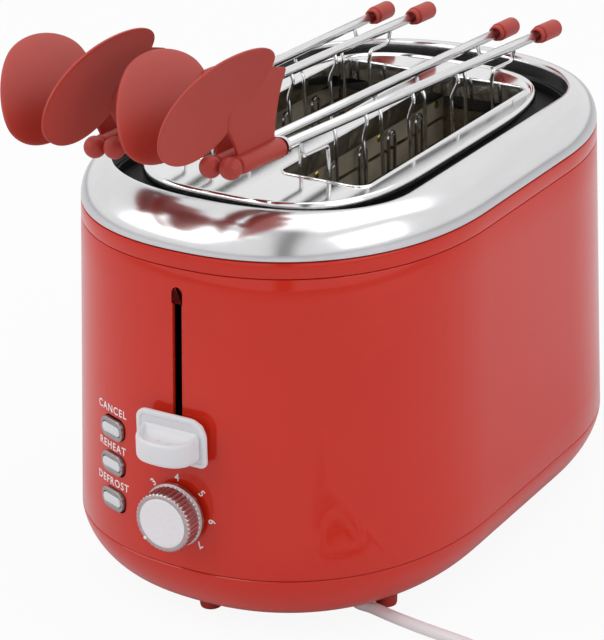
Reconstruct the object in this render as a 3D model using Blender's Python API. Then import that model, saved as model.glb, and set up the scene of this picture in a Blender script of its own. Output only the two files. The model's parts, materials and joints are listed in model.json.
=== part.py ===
"""Two-slice toaster with two sandwich tongs standing in its slots.

The body is a tapered housing with round ends, a bowl-shaped base, a domed chrome ring and a polished plate
with two slots. The front carries the lever, three buttons and the browning knob. Sizes are in millimetres and
become metres where a mesh is made. X is to the right, Y to the back, Z up, and the feet stand on Z = 0.
"""

import math

import bmesh
import bpy
from mathutils import Matrix, Vector

MM = 0.001
GAP = 0.3
LENGTH_SHIFT = 12.52

# Plan of the housing: half width, half length, half length of the straight sides, power of the round ends
HALF_WIDTH = 95.0
HALF_LENGTH = 147.5
STRAIGHT = 39.1
ROUNDNESS = 2.245
PLAN_POINTS = 64

# Heights. All but the base, the feet and the cord is drawn LIFT lower than it ends up
FOOT_HEIGHT = 6.0
LIFT = 2.0
SEAM_Z = 28.0
BAND_Z = 163.2
CHROME_Z = 170.3
TOP_SCALE = 0.953
SKIRT_INSET = 18.0
SKIRT_POWER = 1.6
WALL = 2.0
BASE_WALL = 2.5

# Chrome ring, gap and slot plate
CREST_RISE = 15.8
LIP_PLAN = (70.1, 118.0, 70.0, 2.2)
PLATE_PLAN = (61.7, 105.4, 23.0, 3.17)
PLATE_Y = -1.4
PLATE_Z = 184.0
SLOT_INNER_X = 7.0
SLOT_OUTER_X = 49.0
SLOT_FRONT = -71.0
SLOT_REAR = 81.5
SLOT_CORNER = 3.0

# Lever, carriage and racks
LEVER_TRAVEL = 58.0
LEVER_Z = 88.0
THUMB_ROWS = (
    (-1.2, 14.0, -6.2, 6.4),
    (1.0, 14.0, -6.2, 6.0),
    (4.0, 13.7, -6.2, 5.4),
    (6.6, 12.9, -6.2, 4.9),
    (8.8, 11.5, -6.2, 4.5),
    (10.8, 9.3, -6.0, 4.1),
    (12.0, 7.2, -5.4, 3.6),
    (12.6, 5.4, -4.6, 2.8),
)
DISH_ROWS = (
    (0.4, 12.3, 5.4, 14.0),
    (2.4, 12.2, 3.6, 14.0),
    (5.0, 11.6, 2.6, 14.0),
    (7.6, 10.2, 2.3, 14.0),
    (9.4, 8.6, 2.4, 14.0),
    (10.6, 6.8, 2.9, 14.0),
)
LEVER_SLOT_TOP = 154.5
LEVER_SLOT_WIDTH = 4.6
GUIDE_Y = -95.0
GUIDE_RADIUS = 3.0
RACK_X = 28.0
RACK_WIDTH = 31.0
RACK_TOP = 48.0
FRONT_BULKHEAD_Y = -79.5
REAR_BULKHEAD_Y = 91.0
SHEET = 1.5

# Browning knob and buttons
KNOB_Z = 54.0
KNOB_BACK_Y = -147.7
KNOB_LENGTH = 11.0
KNOB_RADIUS = 13.5
KNOB_RIBS = 48
BUTTON_X = -36.5
BUTTON_HEIGHTS = {"cancel": 82.0, "reheat": 65.3, "defrost": 48.5}
BUTTON_TURN = math.radians(-20.8)

# Cord
CORD_RADIUS = 2.7
CORD_FLOOR = 2.9
CORD_EXIT = (38.0, -66.3, 12.0)
COIL_CENTRE = (150.0, -172.0)
COIL_OUTER = 36.3
COIL_PITCH = 6.7
COIL_RISE = 6.4
COIL_START = math.radians(10.0)
COIL_LAYER_TURNS = 1.79
COIL_CLIMB_TURNS = 0.5
LOOP_POINTS = 24

# Tongs: place of each in the world and the shape of one, along its own Y with the rods at Z = 0
TONG_POSES = {
    "left": ((-39.15, -7.7, 202.3), (0.21, -1.99, -7.11)),
    "right": ((20.77, -4.0, 201.6), (-2.5, -1.89, -5.99)),
}
ROD_RADIUS = 2.25
ROD_FRONT_Y = -125.0
ROD_REAR_Y = 122.5
ROD_FRONT_X = 5.02
ROD_REAR_X = 11.2
BARREL_RADIUS = 4.4
BARREL_REAR_Y = -91.4
WIRE_RADIUS = 0.95
BAR_RADIUS = 0.88
CAGE_ROWS = (-57.0, -29.0, 8.5, 46.0, 83.0)
CAGE_ENDS = (-76.0, 100.0)
CAP_START = 244.3
CAGE_RUN_Z = -8.0
CAGE_DEPTH = 148.6
CAGE_X = 7.0
CAGE_LEAN = {"left": 3.0, "right": 1.5}
HANDLE_TURN = {"left": 8.25, "right": 0.0}
NECK_LEVELS = (
    (0.0, -119.0, -91.9),
    (5.0, -120.0, -93.0),
    (9.0, -121.5, -92.6),
    (13.0, -124.0, -92.0),
    (17.0, -126.5, -91.4),
    (22.0, -126.0, -90.6),
    (28.0, -121.0, -89.6),
    (33.0, -114.0, -88.8),
    (35.0, -109.5, -94.0),
    (36.5, -107.0, -100.0),
)
LEAF_POINTS = 24
LEAF_STEPS = ((0.06, -1), (0.55, -1), (0.95, -0.85), (1.0, 0), (0.95, 0.85), (0.55, 1), (0.06, 1))


for old in list(bpy.data.objects):
    bpy.data.objects.remove(old, do_unlink=True)


def material(name, colour, roughness, metallic=0.0):
    made = bpy.data.materials.new(name)
    made.use_nodes = True
    shader = made.node_tree.nodes["Principled BSDF"]
    shader.inputs["Base Color"].default_value = (*colour, 1.0)
    shader.inputs["Roughness"].default_value = roughness
    shader.inputs["Metallic"].default_value = metallic
    return made


RED_GLOSS = (0.60, 0.035, 0.020)
RED_MATT = (0.52, 0.05, 0.035)
WHITE = (0.80, 0.80, 0.79)
SILVER = (0.62, 0.63, 0.64)
STEEL = (0.50, 0.49, 0.47)


def new_object(name, mesh, colour, roughness, metallic=0.0):
    """Links a mesh or curve as a named object with a material of its own."""
    made = bpy.data.objects.new(name, mesh)
    bpy.context.scene.collection.objects.link(made)
    mesh.materials.clear()
    mesh.materials.append(material(name, colour, roughness, metallic))
    return made


def smooth(target, angle=35.0):
    target.data.shade_smooth()
    target.data.set_sharp_from_angle(angle=math.radians(angle))


def helper(mesh):
    """An object that only shapes another one."""
    made = bpy.data.objects.new("helper", mesh)
    bpy.context.scene.collection.objects.link(made)
    return made


def mesh_from(bm):
    bmesh.ops.recalc_face_normals(bm, faces=bm.faces[:])
    mesh = bpy.data.meshes.new("shape")
    bm.to_mesh(mesh)
    bm.free()
    return mesh


def loft(rings, closed=False):
    """Skins rings of equally many points. A closed loft returns to its first ring, others have end caps."""
    bm = bmesh.new()
    loops = [[bm.verts.new(Vector(point) * MM) for point in ring] for ring in rings]
    count = len(loops[0])
    pairs = list(zip(loops, loops[1:]))
    if closed:
        pairs.append((loops[-1], loops[0]))
    else:
        bm.faces.new(loops[0])
        bm.faces.new(reversed(loops[-1]))
    for low, high in pairs:
        for i in range(count):
            j = (i + 1) % count
            bm.faces.new((low[i], low[j], high[j], high[i]))
    return mesh_from(bm)


def box(low, high, bevel=0.0):
    bm = bmesh.new()
    bmesh.ops.create_cube(bm, size=1.0)
    size = Vector([h - l for l, h in zip(low, high)]) * MM
    middle = Vector([(h + l) / 2 for l, h in zip(low, high)]) * MM
    whole = Matrix.Translation(middle) @ Matrix.Diagonal((*size, 1.0))
    bmesh.ops.transform(bm, matrix=whole, verts=bm.verts[:])
    if bevel:
        bmesh.ops.bevel(
            bm, geom=bm.edges[:], offset=bevel * MM, segments=2, profile=0.5, affect="EDGES", material=-1
        )
    return mesh_from(bm)


def turned(profile, count, centre, axis):
    """A solid of revolution: profile holds (distance along the axis, radius), both ends closed flat."""
    along = Vector(axis).normalized()
    side = along.orthogonal().normalized()
    up = along.cross(side)
    rings = []
    for distance, radius in profile:
        ring = []
        for i in range(count):
            angle = 2 * math.pi * i / count
            spoke = side * math.cos(angle) + up * math.sin(angle)
            ring.append(Vector(centre) + along * distance + spoke * radius)
        rings.append(ring)
    return loft(rings)


def prism(outline, low, high, place=None):
    """Extrudes a flat outline of (x, z) points along Y, then moves it by a matrix in millimetres."""
    rings = [[Vector((x, y, z)) for x, z in outline] for y in (low, high)]
    if place:
        rings = [[place @ point for point in ring] for ring in rings]
    return loft(rings)


def baked(target):
    """The mesh of an object with its modifiers applied."""
    bpy.context.view_layer.update()
    graph = bpy.context.evaluated_depsgraph_get()
    return bpy.data.meshes.new_from_object(target.evaluated_get(graph))


def combine(mesh, others, operation):
    """Unites others with a mesh, or cuts them from it."""
    target = helper(mesh)
    for other in others:
        cutter = helper(other)
        change = target.modifiers.new("Combine", "BOOLEAN")
        change.operation = operation
        change.object = cutter
        result = baked(target)
        target.modifiers.clear()
        target.data = result
        bpy.data.objects.remove(cutter)
    bpy.data.objects.remove(target)
    return result


def unite(mesh, *others):
    return combine(mesh, others, "UNION")


def cut(mesh, *others):
    return combine(mesh, others, "DIFFERENCE")


def wire_curve(points, radius, rounds):
    curve = bpy.data.curves.new("wire", "CURVE")
    curve.dimensions = "3D"
    curve.bevel_depth = radius * MM
    curve.bevel_resolution = rounds
    curve.use_fill_caps = True
    line = curve.splines.new("POLY")
    line.points.add(len(points) - 1)
    for spot, point in zip(line.points, points):
        spot.co = (*(Vector(point) * MM), 1.0)
    return curve


def wire_mesh(points, radius, rounds=1):
    target = helper(wire_curve(points, radius, rounds))
    mesh = baked(target)
    bpy.data.objects.remove(target)
    bm = bmesh.new()
    bm.from_mesh(mesh)
    bmesh.ops.remove_doubles(bm, verts=bm.verts[:], dist=0.00001)
    return mesh_from(bm)


def set_origin(target, point):
    """Moves an object's origin to a point of the world, leaving its shape where it is."""
    spot = Vector(point) * MM
    target.data.transform(Matrix.Translation(-spot))
    target.location = spot


def plan(half_width, half_length, straight, power, z, count=PLAN_POINTS):
    """One ring of the housing's outline: straight sides and round ends."""
    ring = []
    for i in range(count):
        angle = 2 * math.pi * (i + 0.5) / count
        c, s = math.cos(angle), math.sin(angle)
        x = half_width * math.copysign(abs(c) ** (2 / power), c)
        y = (half_length - straight) * math.copysign(abs(s) ** (2 / power), s)
        ring.append((x, y + math.copysign(straight, s), z))
    return ring


def body_scale(z):
    return 1 - (1 - TOP_SCALE) * (z - SEAM_Z) / (CHROME_Z - SEAM_Z)


def body_ring(z, inset):
    scale = body_scale(z)
    return plan(HALF_WIDTH * scale - inset, HALF_LENGTH * scale - inset, STRAIGHT * scale, ROUNDNESS, z)


def front_wall(x, z):
    """Y of the housing's outer wall at the front."""
    scale = body_scale(z)
    across = (abs(x) / (HALF_WIDTH * scale)) ** ROUNDNESS
    return -STRAIGHT * scale - (HALF_LENGTH - STRAIGHT) * scale * (1 - across) ** (1 / ROUNDNESS)


def rounded_outline(low_x, high_x, low_y, high_y, corner, steps=4):
    """Corner points of a rectangle with round corners, in order."""
    points = []
    corners = ((high_x, high_y, 0), (low_x, high_y, 1), (low_x, low_y, 2), (high_x, low_y, 3))
    for x, y, quarter in corners:
        middle_x = x - corner * (1 if x == high_x else -1)
        middle_y = y - corner * (1 if y == high_y else -1)
        for i in range(steps + 1):
            angle = math.pi / 2 * (quarter + i / steps)
            points.append((middle_x + corner * math.cos(angle), middle_y + corner * math.sin(angle)))
    return points


def base_tray():
    """The bowl under the housing, with a bay for the cord in its floor."""
    seam = SEAM_Z + LIFT
    drop = seam - FOOT_HEIGHT

    def skirt(inset, floor, steps):
        rings = []
        for i in range(steps + 1):
            angle = math.pi / 2 * i / steps
            inwards = SKIRT_INSET * (1 - math.cos(angle) ** (2 / SKIRT_POWER)) + inset
            down = (drop - floor) * math.sin(angle) ** (2 / SKIRT_POWER)
            rings.append(plan(HALF_WIDTH - inwards, HALF_LENGTH - inwards, STRAIGHT, ROUNDNESS, seam - down))
        return rings

    outer = loft(skirt(0.0, 0.0, 6))
    mouth = plan(HALF_WIDTH - BASE_WALL, HALF_LENGTH - BASE_WALL, STRAIGHT, ROUNDNESS, seam + 3)
    hollow = loft([mouth] + skirt(BASE_WALL, BASE_WALL, 3))
    bay_block = box((20, -101, FOOT_HEIGHT + 1), (61, -42, 21.5))
    bay = box((22, -99, FOOT_HEIGHT - 5), (59, -44, 19.5))
    gland = turned([(-4, 5.0), (6, 5.0)], 16, (CORD_EXIT[0], -46, CORD_EXIT[2]), (0, 1, 0))
    mesh = cut(unite(cut(outer, hollow), bay_block), bay, gland)
    made = new_object("base_tray", mesh, RED_GLOSS, 0.25)
    smooth(made)


def feet():
    places = {
        "front_left": (-66, -84),
        "front_centre": (0, -123),
        "front_right": (66, -84),
        "rear_left": (-66, 84),
        "rear_centre": (0, 123),
        "rear_right": (66, 84),
    }
    profile = [(0, 4.2), (1.0, 4.8), (FOOT_HEIGHT - GAP, 5.0)]
    for name, (x, y) in places.items():
        made = new_object("foot_" + name, turned(profile, 16, (x, y, 0), (0, 0, 1)), RED_MATT, 0.6)
        smooth(made)


def wall_frame(x, z):
    """Places a shape on the front wall: its X runs along the wall, its Y into the housing."""
    place = Matrix.Translation((x, front_wall(x, z), z))
    return place @ Matrix.Rotation(BUTTON_TURN, 4, "Z")


def pad(length, height, corner, steps=4):
    """A flat outline with round corners about its middle, as (x, z) points."""
    return rounded_outline(-length / 2, length / 2, -height / 2, height / 2, corner, steps)


def main_shell():
    low, high = SEAM_Z + GAP, BAND_Z - GAP
    corners = ((low, 0), (high, 0), (high, WALL), (low, WALL))
    shell = loft([body_ring(z, inset) for z, inset in corners], closed=True)
    half = LEVER_SLOT_WIDTH / 2
    lever_slot = rounded_outline(-half, half, LEVER_Z - 8, LEVER_SLOT_TOP, half - 0.01, 4)
    cutters = [prism(lever_slot, -160, -130)]
    cutters.append(turned([(0, 4.3), (30, 4.3)], 20, (0, -160, KNOB_Z), (0, 1, 0)))
    for z in BUTTON_HEIGHTS.values():
        cutters.append(prism(pad(15.6, 10.2, 4.2), -12, 12, wall_frame(BUTTON_X, z)))
    cutters.append(box((-48.8, 100, 29.8), (48.8, 170, 38.4)))
    made = new_object("main_shell", cut(shell, *cutters), RED_GLOSS, 0.2)
    smooth(made)


def rim_band():
    low, high = BAND_Z, CHROME_Z - GAP
    rings = [body_ring(z, inset) for z, inset in ((low, 0), (high, 0), (high, WALL), (low, WALL))]
    smooth(new_object("rim_band", loft(rings, closed=True), RED_GLOSS, 0.2))


def chrome_ring():
    """A pressed dome round the top whose inner edge rolls down into the gap."""
    scale = body_scale(CHROME_Z)
    outer = (HALF_WIDTH * scale, HALF_LENGTH * scale, STRAIGHT * scale, ROUNDNESS)
    width = outer[0] - LIP_PLAN[0]

    def ring(across, rise):
        part = across / width
        return plan(*[a + (b - a) * part for a, b in zip(outer, LIP_PLAN)], CHROME_Z + GAP + rise)

    def dome(inset, lower, steps):
        points = []
        for i in range(steps + 1):
            angle = math.radians(86) * i / steps
            across = inset + (width - 1.5) * (1 - math.cos(angle) ** (2 / 2.05))
            points.append((across, (CREST_RISE - lower) * math.sin(angle) ** (2 / 2.05)))
        return points

    skin = 1.4
    top = dome(0, 0, 7)
    top += [(width - 0.9, CREST_RISE - 0.6), (width, CREST_RISE - 2.2), (width, CREST_RISE - 9)]
    under = [(width - skin, CREST_RISE - 9), (width - skin - 0.1, CREST_RISE - 3)] + dome(skin, skin, 4)[::-1]
    shell = loft([ring(*point) for point in top + under], closed=True)
    made = new_object("chrome_ring", shell, SILVER, 0.15, 1.0)
    smooth(made, 40)


def plate_ring(half_width, half_length, straight, power, z):
    """A ring of the slot plate, whose middle is PLATE_Y in front of the housing's."""
    return [(x, y + PLATE_Y, height) for x, y, height in plan(half_width, half_length, straight, power, z)]


def insulator_ring():
    """The black ring at the bottom of the gap between the chrome ring and the slot plate."""
    low, high = 166.0, 174.0
    outer = (LIP_PLAN[0] - GAP, LIP_PLAN[1] - GAP, LIP_PLAN[2], LIP_PLAN[3])
    inner = (PLATE_PLAN[0] - 4.5, PLATE_PLAN[1] - 4.5, PLATE_PLAN[2], PLATE_PLAN[3])
    rings = [plan(*outer, low), plan(*outer, high), plate_ring(*inner, high), plate_ring(*inner, low)]
    smooth(new_object("insulator_ring", loft(rings, closed=True), (0.015, 0.015, 0.017), 0.5))


def slot_plate():
    """The polished plate: a shallow upturned pan with a rolled rim and two slots with collars."""
    half_width, half_length, straight, power = PLATE_PLAN

    def ring(inset, z):
        return plate_ring(half_width - inset, half_length - inset, straight, power, z)

    skin = 1.2
    rim = [(0.4, 174.6), (0, PLATE_Z - 1.4), (0.7, PLATE_Z + 0.5), (2.2, PLATE_Z + 0.9), (4.0, PLATE_Z)]
    pan = loft([ring(inset, z) for inset, z in rim])
    hollow = loft([ring(0.4 + skin, 170), ring(skin, PLATE_Z - 2.5), ring(4.0, PLATE_Z - skin)])
    collars = []
    openings = []
    for side in (-1, 1):
        low, high = sorted((side * SLOT_INNER_X, side * SLOT_OUTER_X))
        for grow, z_low, z_high, kept in ((1.2, 174.4, PLATE_Z + 0.8, collars), (0, 165.0, 195.0, openings)):
            outline = rounded_outline(
                low - grow, high + grow, SLOT_FRONT - grow, SLOT_REAR + grow, SLOT_CORNER + grow
            )
            kept.append(loft([[(x, y, z) for x, y in outline] for z in (z_low, z_high)]))
    mesh = cut(unite(cut(pan, hollow), *collars), *openings)
    smooth(new_object("slot_plate", mesh, SILVER, 0.12, 1.0))


def lever_knob():
    """A plate that hides the end of the slot, with a thumb piece dished on top."""
    back, face = -146.2, -149.8

    def plate_outline(grow):
        """The plate's outline: nearly square below, rounder above and most of all at the top right."""
        points = []
        corners = ((17.2, 12.6, 8.0, 0), (-17.4, 12.6, 4.5, 1), (-17.4, -9.0, 3.0, 2), (17.2, -9.0, 3.0, 3))
        for x, z, radius, quarter in corners:
            middle_x = x - math.copysign(radius, x)
            middle_z = LEVER_Z + z - math.copysign(radius, z)
            for i in range(6):
                angle = math.pi / 2 * (quarter + i / 5)
                reach = radius + grow
                points.append((middle_x + reach * math.cos(angle), middle_z + reach * math.sin(angle)))
        return points

    steps = ((back, -2.4), (back - 1.8, -2.4), (back - 2.1, -0.3), (face + 0.6, 0))
    steps += ((face, -0.7), (face, -1.9), (face + 0.5, -2.3))
    plate = loft([[(x, y, z) for x, z in plate_outline(grow)] for y, grow in steps])

    def block(rows, corner, steps):
        rings = []
        for depth, half, low, high in rows:
            outline = rounded_outline(-half, half, low, high, corner, steps)
            rings.append([(x, face - depth, LEVER_Z + z) for x, z in outline])
        return loft(rings)

    thumb = block(THUMB_ROWS, 1.5, 3)
    dish = block(DISH_ROWS, 1.0, 2)
    socket = box((-1.9, -151, LEVER_Z - 4.4), (1.9, back + 2, LEVER_Z + 1.6))
    mesh = cut(unite(plate, thumb), dish, socket)
    made = new_object("lever_knob", mesh, WHITE, 0.3)
    smooth(made)
    set_origin(made, (0, back, LEVER_Z))


def carriage():
    """The sliding sleeve on the guide rod, with the arm to the lever and the bar under the racks."""
    sleeve = box((-8, GUIDE_Y - 8, 44), (8, GUIDE_Y + 8, 92), 1.0)
    arm = box((-1.5, -150, LEVER_Z - 4), (1.5, GUIDE_Y - 7, LEVER_Z + 1.2))
    bar = box((-33, GUIDE_Y + 3, 44), (33, GUIDE_Y + 9, 49.5))
    bore = turned([(0, GUIDE_RADIUS + 0.4), (80, GUIDE_RADIUS + 0.4)], 20, (0, GUIDE_Y, 30), (0, 0, 1))
    made = new_object("carriage", cut(unite(sleeve, arm, bar), bore), STEEL, 0.35, 1.0)
    set_origin(made, (0, GUIDE_Y, 44))
    latch_box = box((8.3, GUIDE_Y - 7, 46), (24, GUIDE_Y + 2.6, 49), 0.4)
    latch = new_object("latch_plate", latch_box, STEEL, 0.3, 1.0)
    set_origin(latch, (0, GUIDE_Y, 44))


def bread_racks():
    """Each rack is a pressed strip with raised bars and a tab at each end that runs in a bulkhead's slot."""
    for name, x in (("left", -RACK_X), ("right", RACK_X)):
        half = RACK_WIDTH / 2
        tray = box((x - half, -76.5, RACK_TOP - SHEET), (x + half, 87.5, RACK_TOP))
        tabs = [
            box((x - 1.6, GUIDE_Y + 9.3, RACK_TOP - 6), (x + 1.6, -70, RACK_TOP - 0.6)),
            box((x - 1.6, 80, RACK_TOP - 6), (x + 1.6, 96, RACK_TOP - 0.6)),
        ]
        windows = []
        for i in range(8):
            start = -68 + i * 19.4
            for low, high in ((x - half + 3, x - 2.6), (x + 2.6, x + half - 3)):
                windows.append(box((low, start, RACK_TOP - 4), (high, start + 12, RACK_TOP + 4)))
        made = new_object("bread_rack_" + name, cut(unite(tray, *tabs), *windows), STEEL, 0.4, 1.0)
        set_origin(made, (x, GUIDE_Y, 44))


def lift_works():
    """The guide rod, the lift spring and the magnet that holds the carriage down."""
    rod = turned([(0, GUIDE_RADIUS), (138.5, GUIDE_RADIUS)], 20, (0, GUIDE_Y, 29.8), (0, 0, 1))
    smooth(new_object("guide_rod", rod, SILVER, 0.15, 1.0))
    curls, low, high, radius = 8, 92.6, 167.6, 3.6
    points = []
    for i in range(curls * 8 + 1):
        angle = 2 * math.pi * i / 8
        height = low + (high - low) * i / (curls * 8)
        points.append((radius * math.cos(angle) - 5.0, radius * math.sin(angle) + GUIDE_Y, height))
    print("spring gap", round((high - low) / curls - 1.2, 2), "mm")
    ends = [(points[0][0], points[0][1] - 1.2, low)] + points + [(points[-1][0], points[-1][1] + 1.2, high)]
    spring = new_object("lift_spring", wire_mesh([shift_back(p) for p in ends], 0.6, 0), STEEL, 0.3, 1.0)
    smooth(spring)
    core = box((10.5, GUIDE_Y - 7, 29.8), (23, GUIDE_Y + 2.6, 45.7), 0.5)
    reel = [(0, 7.6), (1.2, 7.6), (1.3, 6.4), (9.7, 6.4), (9.8, 7.6), (11, 7.6)]
    bobbin = turned(reel, 20, (16.8, -97.2, 31.5), (0, 0, 1))
    magnet = new_object("electromagnet", unite(core, bobbin), (0.45, 0.2, 0.08), 0.4)
    smooth(magnet)


def shift_back(point):
    """The spring hangs beside the guide rod, over the sleeve's left half."""
    x, y, z = point
    return (x - 7.5, y - 1.0, z)


def browning_control():
    """The ribbed knob, its shaft and the potentiometer behind the wall."""
    def rib_ring(y, outer, depth):
        ring = []
        for i in range(KNOB_RIBS * 2):
            angle = math.pi * i / KNOB_RIBS
            radius = outer - depth * (i % 2)
            ring.append((radius * math.cos(angle), y, KNOB_Z + radius * math.sin(angle)))
        return ring

    face = KNOB_BACK_Y - KNOB_LENGTH
    rings = [
        rib_ring(KNOB_BACK_Y, 14.2, 0),
        rib_ring(KNOB_BACK_Y - 2.0, 14.4, 0),
        rib_ring(KNOB_BACK_Y - 2.5, 13.7, 0.5),
        rib_ring(face + 0.8, KNOB_RADIUS, 0.6),
        rib_ring(face, KNOB_RADIUS - 0.5, 0.5),
        rib_ring(face, 12.2, 0),
        rib_ring(face + 0.3, 11.9, 0),
    ]
    pointer_angle = math.radians(225)
    pointer = turned(
        [(0, 0.9), (1.4, 0.7)],
        10,
        (10.2 * math.cos(pointer_angle), face + 1.0, KNOB_Z + 10.2 * math.sin(pointer_angle)),
        (0, -1, 0),
    )
    bore = turned([(0, 3.3), (10.5, 3.3)], 16, (0, KNOB_BACK_Y + 2, KNOB_Z), (0, -1, 0))
    knob = new_object("browning_knob", cut(unite(loft(rings), pointer), bore), WHITE, 0.3)
    smooth(knob, 30)
    set_origin(knob, (0, KNOB_BACK_Y, KNOB_Z))
    rod = turned([(0, 3.0), (24.5, 3.0)], 16, (0, -131.0, KNOB_Z), (0, -1, 0))
    shaft = new_object("knob_shaft", rod, SILVER, 0.3, 1.0)
    smooth(shaft)
    set_origin(shaft, (0, KNOB_BACK_Y, KNOB_Z))
    case = box((-8, -140.5, KNOB_Z - 11), (8, -128, KNOB_Z + 8), 0.6)
    bush = turned([(0, 3.9), (6.5, 3.9)], 16, (0, -139.5, KNOB_Z), (0, -1, 0))
    shaft_bore = turned([(0, 3.3), (20, 3.3)], 16, (0, -130.0, KNOB_Z), (0, -1, 0))
    smooth(new_object("browning_pot", cut(unite(case, bush), shaft_bore), (0.1, 0.2, 0.12), 0.5))


def buttons():
    """Three caps in bezels, and the circuit board with a switch behind each."""
    for name, z in BUTTON_HEIGHTS.items():
        place = wall_frame(BUTTON_X, z)
        ring = cut(prism(pad(15.0, 9.6, 3.9), -1.3, 3.0, place), prism(pad(12.2, 5.6, 2.6), -5, 6, place))
        smooth(new_object("bezel_" + name, ring, (0.32, 0.30, 0.29), 0.35, 0.6))
        front = []
        for y, size in ((-1.6, (10.6, 4.1, 1.9)), (-1.1, (11.6, 5.0, 2.3)), (5.0, (11.6, 5.0, 2.3))):
            front.append([place @ Vector((x, y, h)) for x, h in pad(*size)])
        stem = prism(rounded_outline(-1.6, 1.6, -1.6, 1.6, 0.5, 2), 4.5, 10.4, place)
        cap = new_object("button_" + name, unite(loft(front), stem), WHITE, 0.3)
        smooth(cap)
        set_origin(cap, place.translation)
    middle = wall_frame(BUTTON_X, BUTTON_HEIGHTS["reheat"])
    board = prism(rounded_outline(-20, 20, -30, 30, 1.0, 2), 17.0, 18.6, middle)
    pieces = []
    for z in BUTTON_HEIGHTS.values():
        pieces.append(prism(rounded_outline(-3, 3, -3, 3, 0.4, 2), 13.0, 18.0, wall_frame(BUTTON_X, z)))
    for x, z in ((-15, 26), (-15, -26)):
        pieces.append(prism(rounded_outline(x - 2, x + 2, z - 2, z + 2, 1.0, 3), 6.5, 17.2, middle))
    pieces.append(prism(rounded_outline(8, 17, -18, 6, 0.5, 2), 18.4, 27.0, middle))
    smooth(new_object("control_board", unite(board, *pieces), (0.05, 0.22, 0.08), 0.5))


def bulkheads():
    """The sheet walls at both ends of the heat chamber. The front one has shelves for the lift works."""
    def wall(y, low_z):
        return box((-64, y, low_z), (64, y + SHEET, 165))

    slots = []
    for x in (-RACK_X, RACK_X):
        for y in (FRONT_BULKHEAD_Y, REAR_BULKHEAD_Y):
            slots.append(box((x - 2.6, y - 3, 38), (x + 2.6, y + 5, RACK_TOP + LEVER_TRAVEL + 3)))
    leg = box((-54, FRONT_BULKHEAD_Y, 9 - LIFT), (-26, FRONT_BULKHEAD_Y + SHEET, 30))
    second_leg = box((-20, FRONT_BULKHEAD_Y, 9 - LIFT), (18, FRONT_BULKHEAD_Y + SHEET, 30))
    low_shelf = box((-12, GUIDE_Y - 9, 28), (28, FRONT_BULKHEAD_Y + 1, 29.5))
    high_shelf = box((-18, GUIDE_Y - 4.8, 168.6), (8, FRONT_BULKHEAD_Y + 1, 170.1))
    riser = box((-20, FRONT_BULKHEAD_Y, 164), (20, FRONT_BULKHEAD_Y + SHEET, 170.1))
    front = unite(wall(FRONT_BULKHEAD_Y, 28), leg, second_leg, low_shelf, riser, high_shelf)
    new_object("front_bulkhead", cut(front, *slots[0::2]), STEEL, 0.4, 1.0)
    legs = [box((x - 4, REAR_BULKHEAD_Y, 10 - LIFT), (x + 4, REAR_BULKHEAD_Y + SHEET, 45)) for x in (-54, 54)]
    rear = unite(wall(REAR_BULKHEAD_Y, 39), *legs)
    new_object("rear_bulkhead", cut(rear, *slots[1::2]), STEEL, 0.4, 1.0)


def heaters():
    """Three mica boards with notched edges, and a reflector behind each outer one."""
    low_y, high_y = FRONT_BULKHEAD_Y + SHEET + 0.5, REAR_BULKHEAD_Y - 0.5
    for name, x in (("left", -57.5), ("centre", 0.0), ("right", 57.5)):
        board = box((x - 0.5, low_y, 42), (x + 0.5, high_y, 160))
        notches = []
        for z in range(60, 150, 12):
            for y in (low_y, high_y):
                notches.append(box((x - 2, y - 2.5, z), (x + 2, y + 2.5, z + 3)))
        new_object("heater_board_" + name, cut(board, *notches), (0.42, 0.34, 0.22), 0.6)
    for name, x in (("left", -63.0), ("right", 62.0)):
        sheet = box((x, low_y, 40), (x + 1.0, high_y, 162))
        new_object("reflector_" + name, sheet, STEEL, 0.3, 1.0)


def bread_guards():
    """Each guard is one bent wire: tall hairpins joined by runs along the bottom."""
    low, high, half = 41.0, 161.0, 3.0
    for name, x in (("left_outer", -53.0), ("left_inner", -3.2), ("right_inner", 3.2), ("right_outer", 53.0)):
        points = []
        for i in range(6):
            middle = -58 + i * 25.6
            points += [(x, middle - half, low), (x, middle - half, high)]
            points += [(x, middle + half * s, high + half * c) for s, c in ((-0.7, 0.7), (0, 1), (0.7, 0.7))]
            points += [(x, middle + half, high), (x, middle + half, low)]
        guard = new_object("bread_guard_" + name, wire_mesh(points, 1.0, 0), SILVER, 0.25, 1.0)
        smooth(guard)


def crumb_tray():
    """A shallow pan that slides out at the back, with a curved front panel and a grip."""
    outer_points = [(-48, -70)] + rear_edge(48, 0.0) + [(48, -70)]
    inner_points = [(-46.6, -68.6)] + rear_edge(46.6, 6.0) + [(46.6, -68.6)]
    pan = loft([[(x, y, z) for x, y in outer_points] for z in (30.4, 37.8)])
    hollow = loft([[(x, y, z) for x, y in inner_points] for z in (31.6, 40)])
    grip = box((-17, 143, 31.0), (17, 156, 33.2), 0.5)
    made = new_object("crumb_tray", cut(unite(pan, grip), hollow), STEEL, 0.35, 1.0)
    set_origin(made, (0, 145, 34))


def rear_edge(half, inset):
    """Points along the housing's rear outline, from the left to the right."""
    scale = body_scale(34)
    points = []
    for i in range(13):
        x = -half + 2 * half * i / 12
        across = (abs(x) / (HALF_WIDTH * scale)) ** ROUNDNESS
        y = STRAIGHT * scale + (HALF_LENGTH - STRAIGHT) * scale * (1 - across) ** (1 / ROUNDNESS)
        points.append((x, y - inset))
    return points


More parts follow.
